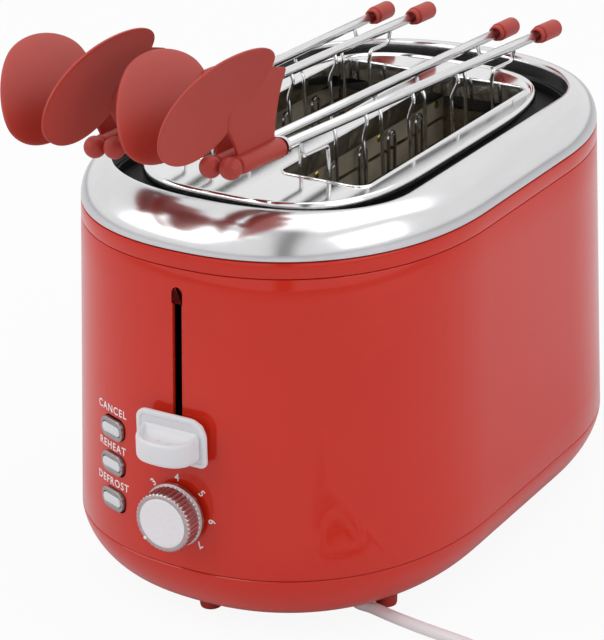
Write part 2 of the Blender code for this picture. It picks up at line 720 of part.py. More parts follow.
def smooth_path(points, spacing):
    """Points at an even spacing along a smooth curve through the given ones."""
    spots = [Vector(point) for point in points]
    spots = [2 * spots[0] - spots[1]] + spots + [2 * spots[-1] - spots[-2]]
    fine = []
    for a, b, c, d in zip(spots, spots[1:], spots[2:], spots[3:]):
        for i in range(20):
            t = i / 20
            square, cube = 2 * a - 5 * b + 4 * c - d, 3 * b - a - 3 * c + d
            fine.append(0.5 * (2 * b + (c - a) * t + square * t**2 + cube * t**3))
    fine.append(spots[-2])
    length = sum((q - p).length for p, q in zip(fine, fine[1:]))
    steps = round(length / spacing)
    kept, walked, target = [fine[0]], 0.0, length / steps
    for p, q in zip(fine, fine[1:]):
        walked += (q - p).length
        if walked >= target and len(kept) < steps:
            kept.append(q)
            target += length / steps
    return kept + [fine[-1]], length


def coil_path():
    """The coil: in along the floor, up a layer, and out again over it, then a straight end to the plug."""
    turns = 2 * COIL_LAYER_TURNS + COIL_CLIMB_TURNS
    inner = COIL_OUTER - COIL_PITCH * COIL_LAYER_TURNS
    count = round(turns * LOOP_POINTS)
    points = []
    for i in range(count + 1):
        turn = turns * i / count
        climb = min(max((turn - COIL_LAYER_TURNS) / COIL_CLIMB_TURNS, 0.0), 1.0)
        wound_in = min(turn, COIL_LAYER_TURNS)
        wound_out = max(turn - COIL_LAYER_TURNS - COIL_CLIMB_TURNS, 0.0)
        radius = COIL_OUTER - COIL_PITCH * wound_in + COIL_PITCH * wound_out
        angle = COIL_START - 2 * math.pi * turn
        points.append(
            Vector(
                (
                    COIL_CENTRE[0] + radius * math.cos(angle),
                    COIL_CENTRE[1] + radius * math.sin(angle),
                    CORD_FLOOR + COIL_RISE * climb,
                )
            )
        )
    gap = 1000.0
    for i, first in enumerate(points):
        for second in points[i + LOOP_POINTS // 3:]:
            gap = min(gap, (first - second).length)
    print("coil inner radius", round(inner, 1), "mm")
    print("gap between loops", round(gap - 2 * CORD_RADIUS, 2), "mm")
    start = Vector((math.sin(COIL_START), -math.cos(COIL_START), 0))
    last = COIL_START - 2 * math.pi * turns
    end = Vector((math.sin(last), -math.cos(last), 0))
    path = [points[0] - start * 2 * CORD_RADIUS] + points + [points[-1] + end * 2 * CORD_RADIUS]
    return path, start, end


def power_lead():
    """The strain relief, the free cord, its coil and the plug."""
    grip = turned(
        [(-3.0, 4.6), (0.3, 4.6), (0.4, 6.2), (1.9, 6.2), (2.0, 5.0), (6, 4.8), (21.8, 3.3), (22.0, 3.0)],
        16,
        (CORD_EXIT[0], -44.0, CORD_EXIT[2]),
        (0, -1, 0),
    )
    smooth(new_object("cord_grip", grip, WHITE, 0.5))
    coil, start, end = coil_path()
    join = coil[0] - start * GAP
    route = [
        (CORD_EXIT[0], CORD_EXIT[1] - 2 * CORD_RADIUS, CORD_EXIT[2]),
        (39.4, -77.6, 10.2),
        (42.6, -83.2, 8.0),
        (47.2, -88.0, 5.7),
        (52.6, -91.8, 3.8),
        (58.2, -94.6, 3.0),
        (64.5, -97.0, CORD_FLOOR),
        (75.0, -101.0, CORD_FLOOR),
        (86.0, -104.0, CORD_FLOOR),
        (97.5, -105.6, CORD_FLOOR),
        (109.0, -105.8, CORD_FLOOR),
        (121.0, -106.2, CORD_FLOOR),
        (139.3, -108.9, CORD_FLOOR),
        (155.4, -115.3, CORD_FLOOR),
        (168.6, -125.1, CORD_FLOOR),
        (178.2, -137.4, CORD_FLOOR),
        join - start * 2 * CORD_RADIUS,
    ]
    bend, free_length = smooth_path(route, 4.2 * CORD_RADIUS)
    free = [CORD_EXIT] + bend + [join]
    cord = new_object("power_cord", wire_curve(free, CORD_RADIUS, 2), WHITE, 0.45)
    made = new_object("cord_coil", wire_curve(coil, CORD_RADIUS, 1), WHITE, 0.45)
    made.data.splines[0].use_smooth = True
    cord.data.splines[0].use_smooth = True
    coil_length = sum((q - p).length for p, q in zip(coil, coil[1:]))
    whole_length = free_length + 4 * CORD_RADIUS + coil_length + GAP
    print("cord length", round(whole_length), "mm, of which", round(coil_length), "in the coil")
    plug(coil[-1] + end * GAP, end)


def plug(entry, along):
    """An angled plug lying on its back: a round body with the cord at its side and two pins up."""
    across = Vector((-along.y, along.x, 0))
    centre = entry + along * 41.0
    centre.z = 0.0
    body = turned([(0.2, 15.5), (1.6, 18.0), (13.0, 18.5), (16.2, 17.6), (17.2, 16.0)], 24, centre, (0, 0, 1))
    relief = turned([(0, 3.2), (0.3, 3.6), (12, 4.6), (22, 6.0), (30, 7.0)], 16, entry, along)
    pins = []
    for side in (-1, 1):
        foot = centre + across * 9.5 * side
        foot.z = 16.0
        pins.append(turned([(0, 2.4), (18.5, 2.4), (20.2, 1.4)], 12, foot, (0, 0, 1)))
    smooth(new_object("plug", unite(body, relief, *pins), WHITE, 0.4))


def tong_matrix(place, turn):
    yaw, pitch, roll = (math.radians(angle) for angle in turn)
    spin = Matrix.Rotation(yaw, 4, "Z") @ Matrix.Rotation(pitch, 4, "X") @ Matrix.Rotation(roll, 4, "Y")
    return Matrix.Translation(Vector(place) * MM) @ spin


def rod_x(y):
    return ROD_FRONT_X + (ROD_REAR_X - ROD_FRONT_X) * (y - ROD_FRONT_Y) / (ROD_REAR_Y - ROD_FRONT_Y)


def rod_axis():
    return Vector((ROD_REAR_X - ROD_FRONT_X, ROD_REAR_Y - ROD_FRONT_Y, 0)).normalized()


def turned_about_rod(mesh, degrees):
    """Turns a right-hand piece about its own rod."""
    foot = Vector((ROD_FRONT_X, ROD_FRONT_Y, 0)) * MM
    spin = Matrix.Rotation(math.radians(degrees), 4, rod_axis())
    mesh.transform(Matrix.Translation(foot) @ spin @ Matrix.Translation(-foot))
    return mesh


def mirrored(mesh):
    mesh.transform(Matrix.Diagonal((-1.0, 1.0, 1.0, 1.0)))
    mesh.flip_normals()
    return mesh


def paddle_leaf():
    """The finger paddle: an oval leaf, dished on its outer side and a little twisted."""
    middle = Vector((13.2, -139.4, 29.8))
    tilt, swing, spin = (math.radians(angle) for angle in (21.3, 1.55, 18.4))
    half_long, half_high, power, thick, dish, twist, drop = 36.3, 20.4, 1.85, 2.4, 3.0, 3.9, 4.6
    normal = Vector(
        (math.cos(tilt) * math.cos(swing), -math.cos(tilt) * math.sin(swing), -math.sin(tilt))
    )
    along = Vector((math.sin(swing), math.cos(swing), 0))
    upward = normal.cross(along)
    long_axis = along * math.cos(spin) + upward * math.sin(spin)
    high_axis = upward * math.cos(spin) - along * math.sin(spin)
    rings = []
    for part, side in LEAF_STEPS:
        ring = []
        for i in range(LEAF_POINTS):
            angle = 2 * math.pi * i / LEAF_POINTS
            c, s = math.cos(angle), math.sin(angle)
            a = part * math.copysign(abs(c) ** (2 / power), c)
            b = part * math.copysign(abs(s) ** (2 / power), s)
            lift = dish * (a * a + b * b) + twist * a * b - drop + side * thick / 2
            ring.append(middle + long_axis * half_long * a + high_axis * half_high * b + normal * lift)
        rings.append(ring)
    return loft(rings)


def handle(turn):
    """Barrel, ball, neck and paddle of a right-hand half, moulded in one."""
    front = Vector((ROD_FRONT_X, ROD_FRONT_Y, 0))
    length = (BARREL_REAR_Y - ROD_FRONT_Y) / rod_axis().y
    side = [(-4.9, 1.2), (-4.2, 2.9), (-2.6, 4.3), (-0.4, 4.8), (1.6, 4.5), (2.8, BARREL_RADIUS - 0.3)]
    side += [(5, BARREL_RADIUS - 0.2), (length - 0.5, BARREL_RADIUS), (length, BARREL_RADIUS - 0.5)]
    barrel = turned(side, 20, front, rod_axis())
    neck = []
    for z, y_front, y_rear in NECK_LEVELS:
        x = rod_x(-100) - 1.1 + 0.0052 * z * z
        low, high = x - 1.0, x + 1.0
        neck.append([(low, y_front, z), (high, y_front, z), (high, y_rear, z), (low, y_rear, z)])
    bore_start = front + rod_axis() * (length - 26)
    bore = turned([(0, ROD_RADIUS + 0.35), (28, ROD_RADIUS + 0.35)], 16, bore_start, rod_axis())
    mesh = cut(unite(barrel, loft(neck), paddle_leaf()), bore)
    return turned_about_rod(mesh, turn)


def cage(lean):
    """A rod with its guard: a wire bent to a deep loop, and bars from the rod to the loop's floor."""
    start = Vector((ROD_FRONT_X, ROD_FRONT_Y, 0))
    rod = turned([(16, ROD_RADIUS), (256.0, ROD_RADIUS)], 12, start, rod_axis())

    def spot(y, z):
        below = min(-z / 12.0, 1.0)
        x = rod_x(y) + (CAGE_X - rod_x(y)) * below
        return (x + math.sin(math.radians(lean)) * -z * below, y, z)

    front, rear = CAGE_ROWS[0], CAGE_ROWS[-1]
    loop = [spot(CAGE_ENDS[0], -0.2), spot(CAGE_ENDS[0], CAGE_RUN_Z), spot(front, CAGE_RUN_Z)]
    loop += [spot(front, -12.0), spot(front, -CAGE_DEPTH), spot(rear, -CAGE_DEPTH)]
    loop += [spot(rear, -12.0), spot(rear, CAGE_RUN_Z)]
    loop += [spot(CAGE_ENDS[1], CAGE_RUN_Z), spot(CAGE_ENDS[1], -0.2)]
    bars = []
    for y in CAGE_ROWS[1:-1]:
        bars.append(wire_mesh([spot(y, -0.2), spot(y, -12.0), spot(y, 0.1 - CAGE_DEPTH)], BAR_RADIUS))
    return unite(rod, wire_mesh(loop, WIRE_RADIUS), *bars)


def end_cap():
    start = Vector((ROD_FRONT_X, ROD_FRONT_Y, 0)) + rod_axis() * CAP_START
    profile = [(0, 3.3), (0.4, 3.8), (1.8, 3.8), (2.0, 3.3), (2.8, 3.3), (3.0, 4.3), (17.0, 4.3), (17.8, 3.7)]
    outside = turned(profile, 12, start, rod_axis())
    bore = turned([(-1, ROD_RADIUS + 0.35), (12.6, ROD_RADIUS + 0.35)], 12, start, rod_axis())
    socket = turned([(15.0, 2.4), (19, 2.4)], 12, start, rod_axis())
    return cut(outside, bore, socket)


def yoke():
    """A small plate with two eyes that keeps the two rods of a tong together."""
    y = BARREL_REAR_Y + 2.2
    x = rod_x(y)
    outline = rounded_outline(-x - 4.1, x + 4.1, -4.1, 4.1, 4.0, 6)
    mesh = prism(outline, y - 0.9, y + 0.9)
    for side in (-1, 1):
        eye = turned([(-4, ROD_RADIUS + 0.4), (4, ROD_RADIUS + 0.4)], 16, (side * x, y, 0), (0, 1, 0))
        mesh = cut(mesh, eye)
    return mesh


def tongs():
    meshes = {}
    for side in ("right", "left"):
        lean = CAGE_LEAN[side] * (1 if side == "left" else -1)
        pieces = {"handle": handle(HANDLE_TURN[side]), "cage": cage(lean), "cap": end_cap()}
        for kind, mesh in pieces.items():
            meshes[side, kind] = mirrored(mesh) if side == "left" else mesh
    looks = {"handle": (RED_MATT, 0.5, 0.0), "cage": (SILVER, 0.2, 1.0), "cap": (RED_MATT, 0.5, 0.0)}
    plate = yoke()
    for name, (place, turn) in TONG_POSES.items():
        stand = bpy.data.objects.new(name + "_tong", None)
        bpy.context.scene.collection.objects.link(stand)
        stand.matrix_world = tong_matrix(place, turn)
        for (side, kind), mesh in meshes.items():
            made = new_object(f"{name}_tong_{kind}_{side}", mesh.copy(), *looks[kind])
            smooth(made)
            made.parent = stand
        joint = new_object(name + "_tong_yoke", plate.copy(), SILVER, 0.3, 1.0)
        joint.parent = stand
        for sign, side in ((-1, "left"), (1, "right")):
            direction = stand.matrix_world.to_3x3() @ Vector((sign * rod_axis().x, rod_axis().y, 0))
            foot = stand.matrix_world @ (Vector((sign * ROD_FRONT_X, ROD_FRONT_Y, 0)) * MM)
            print(name, "tong rod", side, [round(v, 5) for v in foot], [round(v, 5) for v in direction])


def place_all():
    """Lifts all that stands on the base, and puts the middle of the length over the origin."""
    low = ("base_tray", "foot_", "cord_grip", "power_cord", "cord_coil", "plug")
    for thing in bpy.context.scene.objects:
        if thing.parent is None:
            thing.location.y += LENGTH_SHIFT * MM
            if not thing.name.startswith(low):
                thing.location.z += LIFT * MM


base_tray()
feet()
main_shell()
rim_band()
chrome_ring()
insulator_ring()
slot_plate()
lever_knob()
carriage()
bread_racks()
lift_works()
browning_control()
buttons()
bulkheads()
heaters()
bread_guards()
crumb_tray()
power_lead()
tongs()
place_all()
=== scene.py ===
# %% [markdown]
# # A two-slice toaster with two sandwich tongs
#
# The toaster is a tapered housing of glossy red metal on a bowl-shaped base. A domed chrome ring goes round
# the top, with a black gap inside it and a polished plate with two slots. Two tongs of chromed wire stand in
# the slots, with matt red finger paddles over the front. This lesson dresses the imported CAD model: each step
# first says what the piece is, how it could be made and why it is made this way.

import json
import math

import bmesh
import bpy
from mathutils import Matrix, Vector

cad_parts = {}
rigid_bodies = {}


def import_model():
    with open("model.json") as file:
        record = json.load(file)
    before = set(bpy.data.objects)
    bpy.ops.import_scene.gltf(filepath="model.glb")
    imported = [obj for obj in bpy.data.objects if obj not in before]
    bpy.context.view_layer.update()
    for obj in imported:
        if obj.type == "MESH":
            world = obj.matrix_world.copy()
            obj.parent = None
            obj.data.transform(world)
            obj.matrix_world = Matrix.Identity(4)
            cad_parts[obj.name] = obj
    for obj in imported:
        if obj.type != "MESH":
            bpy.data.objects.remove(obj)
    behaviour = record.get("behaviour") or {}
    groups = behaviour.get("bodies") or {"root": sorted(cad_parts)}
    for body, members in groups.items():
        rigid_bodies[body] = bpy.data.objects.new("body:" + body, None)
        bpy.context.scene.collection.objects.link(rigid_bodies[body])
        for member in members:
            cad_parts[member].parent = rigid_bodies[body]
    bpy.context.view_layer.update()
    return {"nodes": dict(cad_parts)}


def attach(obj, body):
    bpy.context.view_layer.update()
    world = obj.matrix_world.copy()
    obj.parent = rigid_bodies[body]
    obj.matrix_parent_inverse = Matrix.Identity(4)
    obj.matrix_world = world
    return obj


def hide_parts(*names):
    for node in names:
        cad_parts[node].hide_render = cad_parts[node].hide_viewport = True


for old in list(bpy.data.objects):
    bpy.data.objects.remove(old, do_unlink=True)

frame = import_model()
nodes = frame["nodes"]
scene = bpy.context.scene

# %% [markdown]
# ## One set of measures
#
# All the shapes below are drawn in millimetres from the middle of the housing's plan, because those are the
# numbers a product drawing has. The frame is in metres, and its origin lies under the middle of the whole
# length, paddles included, which is 12.52 mm further forward. One matrix takes the drawing to the frame.

# %% Measures and the way from the drawing to the frame
MM = 0.001
LENGTH_SHIFT = 12.52
DRAWING_TO_FRAME = Matrix.Scale(MM, 4) @ Matrix.Translation((0.0, LENGTH_SHIFT, 0.0))

HALF_WIDTH, HALF_LENGTH, STRAIGHT, ROUNDNESS = 94.8, 147.3, 39.1, 2.245
SEAM_Z, BAND_Z, CHROME_Z = 30.0, 165.2, 172.3
TOP_SCALE = 0.953
WALL = 2.0
PLATE_Z = 186.0
LEVER_Z = 90.0
KNOB_Z = 56.0
KNOB_BACK = -147.7
KNOB_FACE = KNOB_BACK - 11.0
BUTTON_X = -36.5
BUTTON_HEIGHTS = {"cancel": 84.0, "reheat": 67.3, "defrost": 50.5}


def in_frame(point):
    """A point of the drawing in the frame's metres."""
    return DRAWING_TO_FRAME @ Vector(point)


print("lever plate centre in the frame", [round(v, 4) for v in in_frame((0, -148, LEVER_Z))])

# %% [markdown]
# ## The camera
#
# The photograph was taken with a long lens from the front right, a little above. The camera's turn, height,
# distance and lens come from a fit of the housing's outline, seams, slots and controls. The small extra turns
# bring the fitted aim point to its place in the picture, so no lens shift is needed.

# %% Camera
AZIMUTH, ELEVATION = math.radians(30.075), math.radians(22.909)
YAW, PITCH, ROLL = math.radians(1.01), math.radians(0.006), math.radians(0.515)
CAMERA_DISTANCE = 1239.74
AIM = Vector((0.0, 0.0, 90.08))
FOCAL_PIXELS, PICTURE_HEIGHT, SENSOR = 2686.2, 640.0, 36.0

back = Vector(
    (
        math.sin(AZIMUTH) * math.cos(ELEVATION),
        -math.cos(AZIMUTH) * math.cos(ELEVATION),
        math.sin(ELEVATION),
    )
)
view_right = (-back).cross(Vector((0, 0, 1))).normalized()
view_up = view_right.cross(-back)
turn = Matrix.Rotation(YAW, 3, view_up)
forward, view_right = turn @ -back, turn @ view_right
turn = Matrix.Rotation(PITCH, 3, view_right)
forward, view_up = turn @ forward, turn @ view_up
turn = Matrix.Rotation(ROLL, 3, forward)
view_right, view_up = turn @ view_right, turn @ view_up

camera_data = bpy.data.cameras.new("Camera")
camera_data.sensor_width = SENSOR
camera_data.lens = FOCAL_PIXELS * SENSOR / PICTURE_HEIGHT
camera = bpy.data.objects.new("Camera", camera_data)
scene.collection.objects.link(camera)
camera.matrix_world = Matrix.Translation(in_frame(AIM + back * CAMERA_DISTANCE)) @ Matrix(
    (view_right, view_up, -forward)
).transposed().to_4x4()
scene.camera = camera
print("lens", round(camera_data.lens, 1), "mm")

# %% [markdown]
# ## Shader groups for effects that many finishes share
#
# Real surfaces are never even. Polished metal has faint wiping marks, moulded plastic a fine grain, and paint
# a slight waviness. Each effect is a node group with its own inputs, so that every material can place it with
# its own scale and strength. The groups read Object coordinates, which stay put on a piece in every view.


# %% Group makers
NOISE_ROUGHNESS = 0.55


def new_group(name, inputs, outputs):
    """An empty shader node group with float inputs {name: default} and outputs [(name, socket type)]."""
    group = bpy.data.node_groups.new(name, "ShaderNodeTree")
    for socket, value in inputs.items():
        made = group.interface.new_socket(socket, in_out="INPUT", socket_type="NodeSocketFloat")
        made.default_value = value
    for socket, kind in outputs:
        group.interface.new_socket(socket, in_out="OUTPUT", socket_type=kind)
    return group, group.nodes.new("NodeGroupInput"), group.nodes.new("NodeGroupOutput")


def noise(tree, vector, scale, detail):
    """A noise texture on a vector, at the scale that a socket gives."""
    made = tree.nodes.new("ShaderNodeTexNoise")
    made.inputs["Detail"].default_value = detail
    made.inputs["Roughness"].default_value = NOISE_ROUGHNESS
    tree.links.new(vector, made.inputs["Vector"])
    tree.links.new(scale, made.inputs["Scale"])
    return made.outputs["Fac"]


def maths(tree, operation, *values):
    """A math node whose inputs are sockets or numbers. Gives its output socket."""
    made = tree.nodes.new("ShaderNodeMath")
    made.operation = operation
    for i, value in enumerate(values):
        if isinstance(value, (int, float)):
            made.inputs[i].default_value = value
        else:
            tree.links.new(value, made.inputs[i])
    return made.outputs[0]


def wiping_marks_group():
    """Roughness that changes over a polished surface, from broad smudges and fine wiping marks."""
    group, ins, outs = new_group(
        "Wiping marks",
        {"Scale": 18.0, "Base": 0.1, "Spread": 0.06},
        [("Roughness", "NodeSocketFloat"), ("Height", "NodeSocketFloat")],
    )
    place = group.nodes.new("ShaderNodeTexCoord").outputs["Object"]
    broad = noise(group, place, ins.outputs["Scale"], 3.0)
    stretch = group.nodes.new("ShaderNodeMapping")
    stretch.inputs["Scale"].default_value = (1.0, 0.12, 1.0)
    group.links.new(place, stretch.inputs["Vector"])
    fine_scale = maths(group, "MULTIPLY", ins.outputs["Scale"], 22.0)
    fine = noise(group, stretch.outputs["Vector"], fine_scale, 5.0)
    mixed = maths(group, "MULTIPLY_ADD", fine, 0.35, maths(group, "MULTIPLY", broad, 0.65))
    centred = maths(group, "SUBTRACT", mixed, 0.5)
    rough = maths(group, "MULTIPLY_ADD", centred, ins.outputs["Spread"], ins.outputs["Base"])
    group.links.new(rough, outs.inputs["Roughness"])
    group.links.new(fine, outs.inputs["Height"])
    return group


def moulded_grain_group():
    """The fine grain of moulded plastic or paint: a height, and a slight change of tone."""
    group, ins, outs = new_group(
        "Moulded grain",
        {"Grain": 900.0, "Cloud": 14.0},
        [("Height", "NodeSocketFloat"), ("Tone", "NodeSocketFloat")],
    )
    place = group.nodes.new("ShaderNodeTexCoord").outputs["Object"]
    group.links.new(noise(group, place, ins.outputs["Grain"], 2.0), outs.inputs["Height"])
    group.links.new(noise(group, place, ins.outputs["Cloud"], 3.0), outs.inputs["Tone"])
    return group


WIPING_MARKS = wiping_marks_group()
MOULDED_GRAIN = moulded_grain_group()
print("groups", [group.name for group in bpy.data.node_groups])


# %% A material and its parts
TONE_LOW, TONE_HIGH = 0.3, 0.7


def placed_group(tree, group, **values):
    """A group in a material, with its inputs set."""
    made = tree.nodes.new("ShaderNodeGroup")
    made.node_tree = group
    for socket, value in values.items():
        made.inputs[socket].default_value = value
    return made


def two_tones(tree, factor, dark, light):
    """A colour ramp between two colours. Gives its colour socket."""
    ramp = tree.nodes.new("ShaderNodeValToRGB")
    for stop, position, tone in zip(ramp.color_ramp.elements, (TONE_LOW, TONE_HIGH), (dark, light)):
        stop.position = position
        stop.color = (*tone, 1.0)
    tree.links.new(factor, ramp.inputs["Fac"])
    return ramp.outputs["Color"]


def bump(tree, shader, height, strength, distance):
    """Lets a height tilt the shader's normal."""
    made = tree.nodes.new("ShaderNodeBump")
    made.inputs["Strength"].default_value = strength
    made.inputs["Distance"].default_value = distance
    tree.links.new(height, made.inputs["Height"])
    tree.links.new(made.outputs["Normal"], shader.inputs["Normal"])


def new_material(name, **values):
    """A material with plain values on its Principled shader. Gives the material, its tree and the shader."""
    made = bpy.data.materials.new(name)
    made.use_nodes = True
    shader = made.node_tree.nodes["Principled BSDF"]
    for socket, value in values.items():
        shader.inputs[socket.replace("_", " ")].default_value = value
    return made, made.node_tree, shader


# %% [markdown]
# ## Metals
#
# Chrome, the polished plate and the bright wire are one metal at three finishes. A mirror needs almost no
# colour of its own: what shows is the room. The wiping marks keep the reflections from looking computed. The
# racks, ribbons and bulkheads inside have seen heat, so their steel is duller and straw-coloured in patches.


# %% Metal materials
WIPING_DEPTH = 0.00005


def metal(name, dark, light, base, spread, scale, lines=0.0):
    """A metal between two tones. base and spread set its roughness, lines the strength of its bump."""
    made, tree, shader = new_material(name, Metallic=1.0)
    marks = placed_group(tree, WIPING_MARKS, Scale=scale, Base=base, Spread=spread)
    tree.links.new(marks.outputs["Roughness"], shader.inputs["Roughness"])
    tree.links.new(two_tones(tree, marks.outputs["Height"], dark, light), shader.inputs["Base Color"])
    if lines:
        bump(tree, shader, marks.outputs["Height"], lines, WIPING_DEPTH)
    return made


CHROME = metal("Chrome", (0.66, 0.66, 0.67), (0.69, 0.69, 0.70), 0.20, 0.06, 10.0)
POLISHED_PLATE = metal("Polished steel plate", (0.72, 0.72, 0.72), (0.76, 0.76, 0.76), 0.10, 0.05, 10.0)
BRIGHT_WIRE = metal("Bright wire", (0.66, 0.66, 0.66), (0.74, 0.74, 0.74), 0.14, 0.06, 30.0)
HEATED_STEEL = metal("Heated steel", (0.36, 0.31, 0.24), (0.52, 0.47, 0.38), 0.28, 0.18, 12.0, 0.2)
LINER_STEEL = metal("Liner steel", (0.50, 0.48, 0.45), (0.60, 0.58, 0.54), 0.42, 0.15, 30.0)
PRESSED_STEEL = metal("Pressed steel", (0.40, 0.39, 0.37), (0.52, 0.51, 0.49), 0.32, 0.12, 12.0, 0.2)
BRASS = metal("Brass rivet", (0.62, 0.42, 0.08), (0.80, 0.58, 0.16), 0.22, 0.10, 40.0)
SPUN_FACE = metal("Spun knob face", (0.84, 0.84, 0.85), (0.88, 0.88, 0.89), 0.30, 0.08, 26.0)
# The knob rim's pinkish tint is a painted reflection of the red housing, not a colour of the silver metal.
KNOB_RIM_PAINTED_RED_REFLECTION = metal("Silver knob rim, painted red reflection", (0.44, 0.36, 0.36), (0.52, 0.44, 0.44), 0.30, 0.08, 40.0)
# The bezel's slight pink tint is a painted reflection of the red housing on grey metal.
BEZEL_GREY_PAINTED_PINK_REFLECTION = metal("Grey bezel, painted pink reflection", (0.34, 0.31, 0.31), (0.42, 0.39, 0.39), 0.32, 0.08, 40.0)
print("metals", len(bpy.data.materials))

# %% [markdown]
# ## Paint, plastic and rubber
#
# The housing is red under a clear gloss, so its material has a coat over a slightly softer base, and a very
# low waviness in the reflection. The paddles are matt and a little pinker, because their grain scatters light.


# %% Paint and plastic materials
COAT_ROUGHNESS, GRAIN_DEPTH = 0.035, 0.00003


def moulded(name, dark, light, roughness, grain, height, coat=0.0, cloud=14.0, gloss=0.5):
    """A plastic, paint or board between two tones, with a grain of its own fineness and height."""
    made, tree, shader = new_material(
        name, Roughness=roughness, Coat_Weight=coat, Coat_Roughness=COAT_ROUGHNESS, Specular_IOR_Level=gloss
    )
    surface = placed_group(tree, MOULDED_GRAIN, Grain=grain, Cloud=cloud)
    tree.links.new(two_tones(tree, surface.outputs["Tone"], dark, light), shader.inputs["Base Color"])
    bump(tree, shader, surface.outputs["Height"], height, GRAIN_DEPTH)
    return made


GLOSSY_RED = {"roughness": 0.30, "grain": 60.0, "height": 0.02, "coat": 0.65, "gloss": 0.1}
RED_PAINT = moulded("Red gloss paint", (0.61, 0.021, 0.006), (0.64, 0.024, 0.008), **GLOSSY_RED)
RED_BASE = moulded("Red gloss plastic", (0.60, 0.021, 0.007), (0.63, 0.024, 0.009), **GLOSSY_RED)
RED_GRIP = moulded("Matt red grip", (0.40, 0.031, 0.018), (0.45, 0.037, 0.022), 0.50, 1600.0, 0.22)
RED_FEET = moulded("Red rubber feet", (0.40, 0.03, 0.02), (0.44, 0.035, 0.025), 0.6, 1200.0, 0.25)
LEVER_WHITE = moulded("Pearl white plastic", (0.74, 0.74, 0.75), (0.79, 0.79, 0.80), 0.38, 700.0, 0.05)
BUTTON_WHITE = moulded("White button plastic", (0.72, 0.73, 0.73), (0.78, 0.79, 0.79), 0.3, 900.0, 0.05, 0.2)
INSULATOR_BLACK = moulded(
    "Black insulator", (0.010, 0.010, 0.011), (0.016, 0.016, 0.017), 0.5, 800.0, 0.2, gloss=0.12
)
CORD_WHITE = moulded("White cord", (0.82, 0.82, 0.82), (0.87, 0.87, 0.87), 0.38, 500.0, 0.12)
PLUG_WHITE = moulded("White plug", (0.74, 0.74, 0.73), (0.79, 0.79, 0.78), 0.38, 1100.0, 0.2)
LABEL_WHITE = moulded("White print", (0.84, 0.80, 0.79), (0.90, 0.87, 0.86), 0.4, 2000.0, 0.02)
MICA = moulded("Mica board", (0.35, 0.30, 0.22), (0.52, 0.46, 0.35), 0.32, 500.0, 0.2, 0.4, cloud=60.0)
BOARD_GREEN = moulded("Green circuit board", (0.02, 0.11, 0.04), (0.03, 0.16, 0.06), 0.35, 300.0, 0.1, 0.4)
COPPER_WIRE = moulded("Enamelled copper", (0.36, 0.13, 0.05), (0.46, 0.19, 0.07), 0.3, 700.0, 0.15, 0.5)
print("materials", len(bpy.data.materials))


# %% [markdown]
# ## Tools for the shapes
#
# Most pieces are a box with rounded edges, a turned shape or a bent wire, or two of them joined or cut. A few
# small functions make these from Blender's own operators. The first one ends every piece: it closes the mesh,
# takes it from the drawing to the frame and hands it to the body of the CAD model that carries it.

# %% How a piece is finished
DOUBLES = 0.0005


def finish_mesh(bm, name, body, material, replaced=(), angle=35.0):
    """Closes a bmesh drawn in millimetres, takes it to the frame and makes it a piece that rides on a body."""
    bmesh.ops.remove_doubles(bm, verts=bm.verts[:], dist=DOUBLES)
    bmesh.ops.recalc_face_normals(bm, faces=bm.faces[:])
    bm.transform(DRAWING_TO_FRAME)
    mesh = bpy.data.meshes.new(name)
    bm.to_mesh(mesh)
    bm.free()
    made = bpy.data.objects.new(name, mesh)
    scene.collection.objects.link(made)
    mesh.materials.append(material)
    mesh.shade_smooth()
    mesh.set_sharp_from_angle(angle=math.radians(angle))
    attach(made, body)
    if replaced:
        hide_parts(*replaced)
    return made


def evaluated_mesh(made):
    """An object's mesh with its modifiers or curve settings worked in."""
    bpy.context.view_layer.update()
    return bpy.data.meshes.new_from_object(made.evaluated_get(bpy.context.evaluated_depsgraph_get()))


# %% Joining and cutting
def scratch_object(bm):
    """A plain object from a bmesh, for a Boolean."""
    mesh = bpy.data.meshes.new("scratch")
    bmesh.ops.recalc_face_normals(bm, faces=bm.faces[:])
    bm.to_mesh(mesh)
    bm.free()
    made = bpy.data.objects.new("scratch", mesh)
    scene.collection.objects.link(made)
    return made


def boolean(bm, operation, *others):
    """Cuts the other bmeshes from a bmesh, or unites them with it, and gives the result as a bmesh."""
    made = scratch_object(bm)
    for other in others:
        tool = scratch_object(other)
        change = made.modifiers.new("Boolean", "BOOLEAN")
        change.operation = operation
        change.object = tool
        mesh = evaluated_mesh(made)
        made.modifiers.clear()
        made.data = mesh
        bpy.data.objects.remove(tool)
    result = bmesh.new()
    result.from_mesh(made.data)
    bpy.data.objects.remove(made)
    return result


def join_into(bm, *others):
    """Adds the other bmeshes to a bmesh as they are."""
    for other in others:
        mesh = bpy.data.meshes.new("scratch")
        bmesh.ops.recalc_face_normals(other, faces=other.faces[:])
        other.to_mesh(mesh)
        other.free()
        bm.from_mesh(mesh)
        bpy.data.meshes.remove(mesh)
    return bm


def placed(bm, place):
    bm.transform(place)
    return bm


# %% Rounded boxes and turned shapes
def edges_along(bm, axis, picks=lambda middle: True):
    """The edges along one axis whose middle passes a test."""
    chosen = []
    for edge in bm.edges:
        start, end = (vert.co for vert in edge.verts)
        if abs((start - end).normalized()[axis]) > 0.9 and picks((start + end) / 2):
            chosen.append(edge)
    return chosen


def sharp_edges(bm, least=0.6):
    return [e for e in bm.edges if len(e.link_faces) == 2 and e.calc_face_angle() > least]


def rounded(bm, edges, offset, segments=8):
    bmesh.ops.bevel(
        bm, geom=edges, offset=offset, segments=segments, profile=0.5, affect="EDGES", material=-1
    )


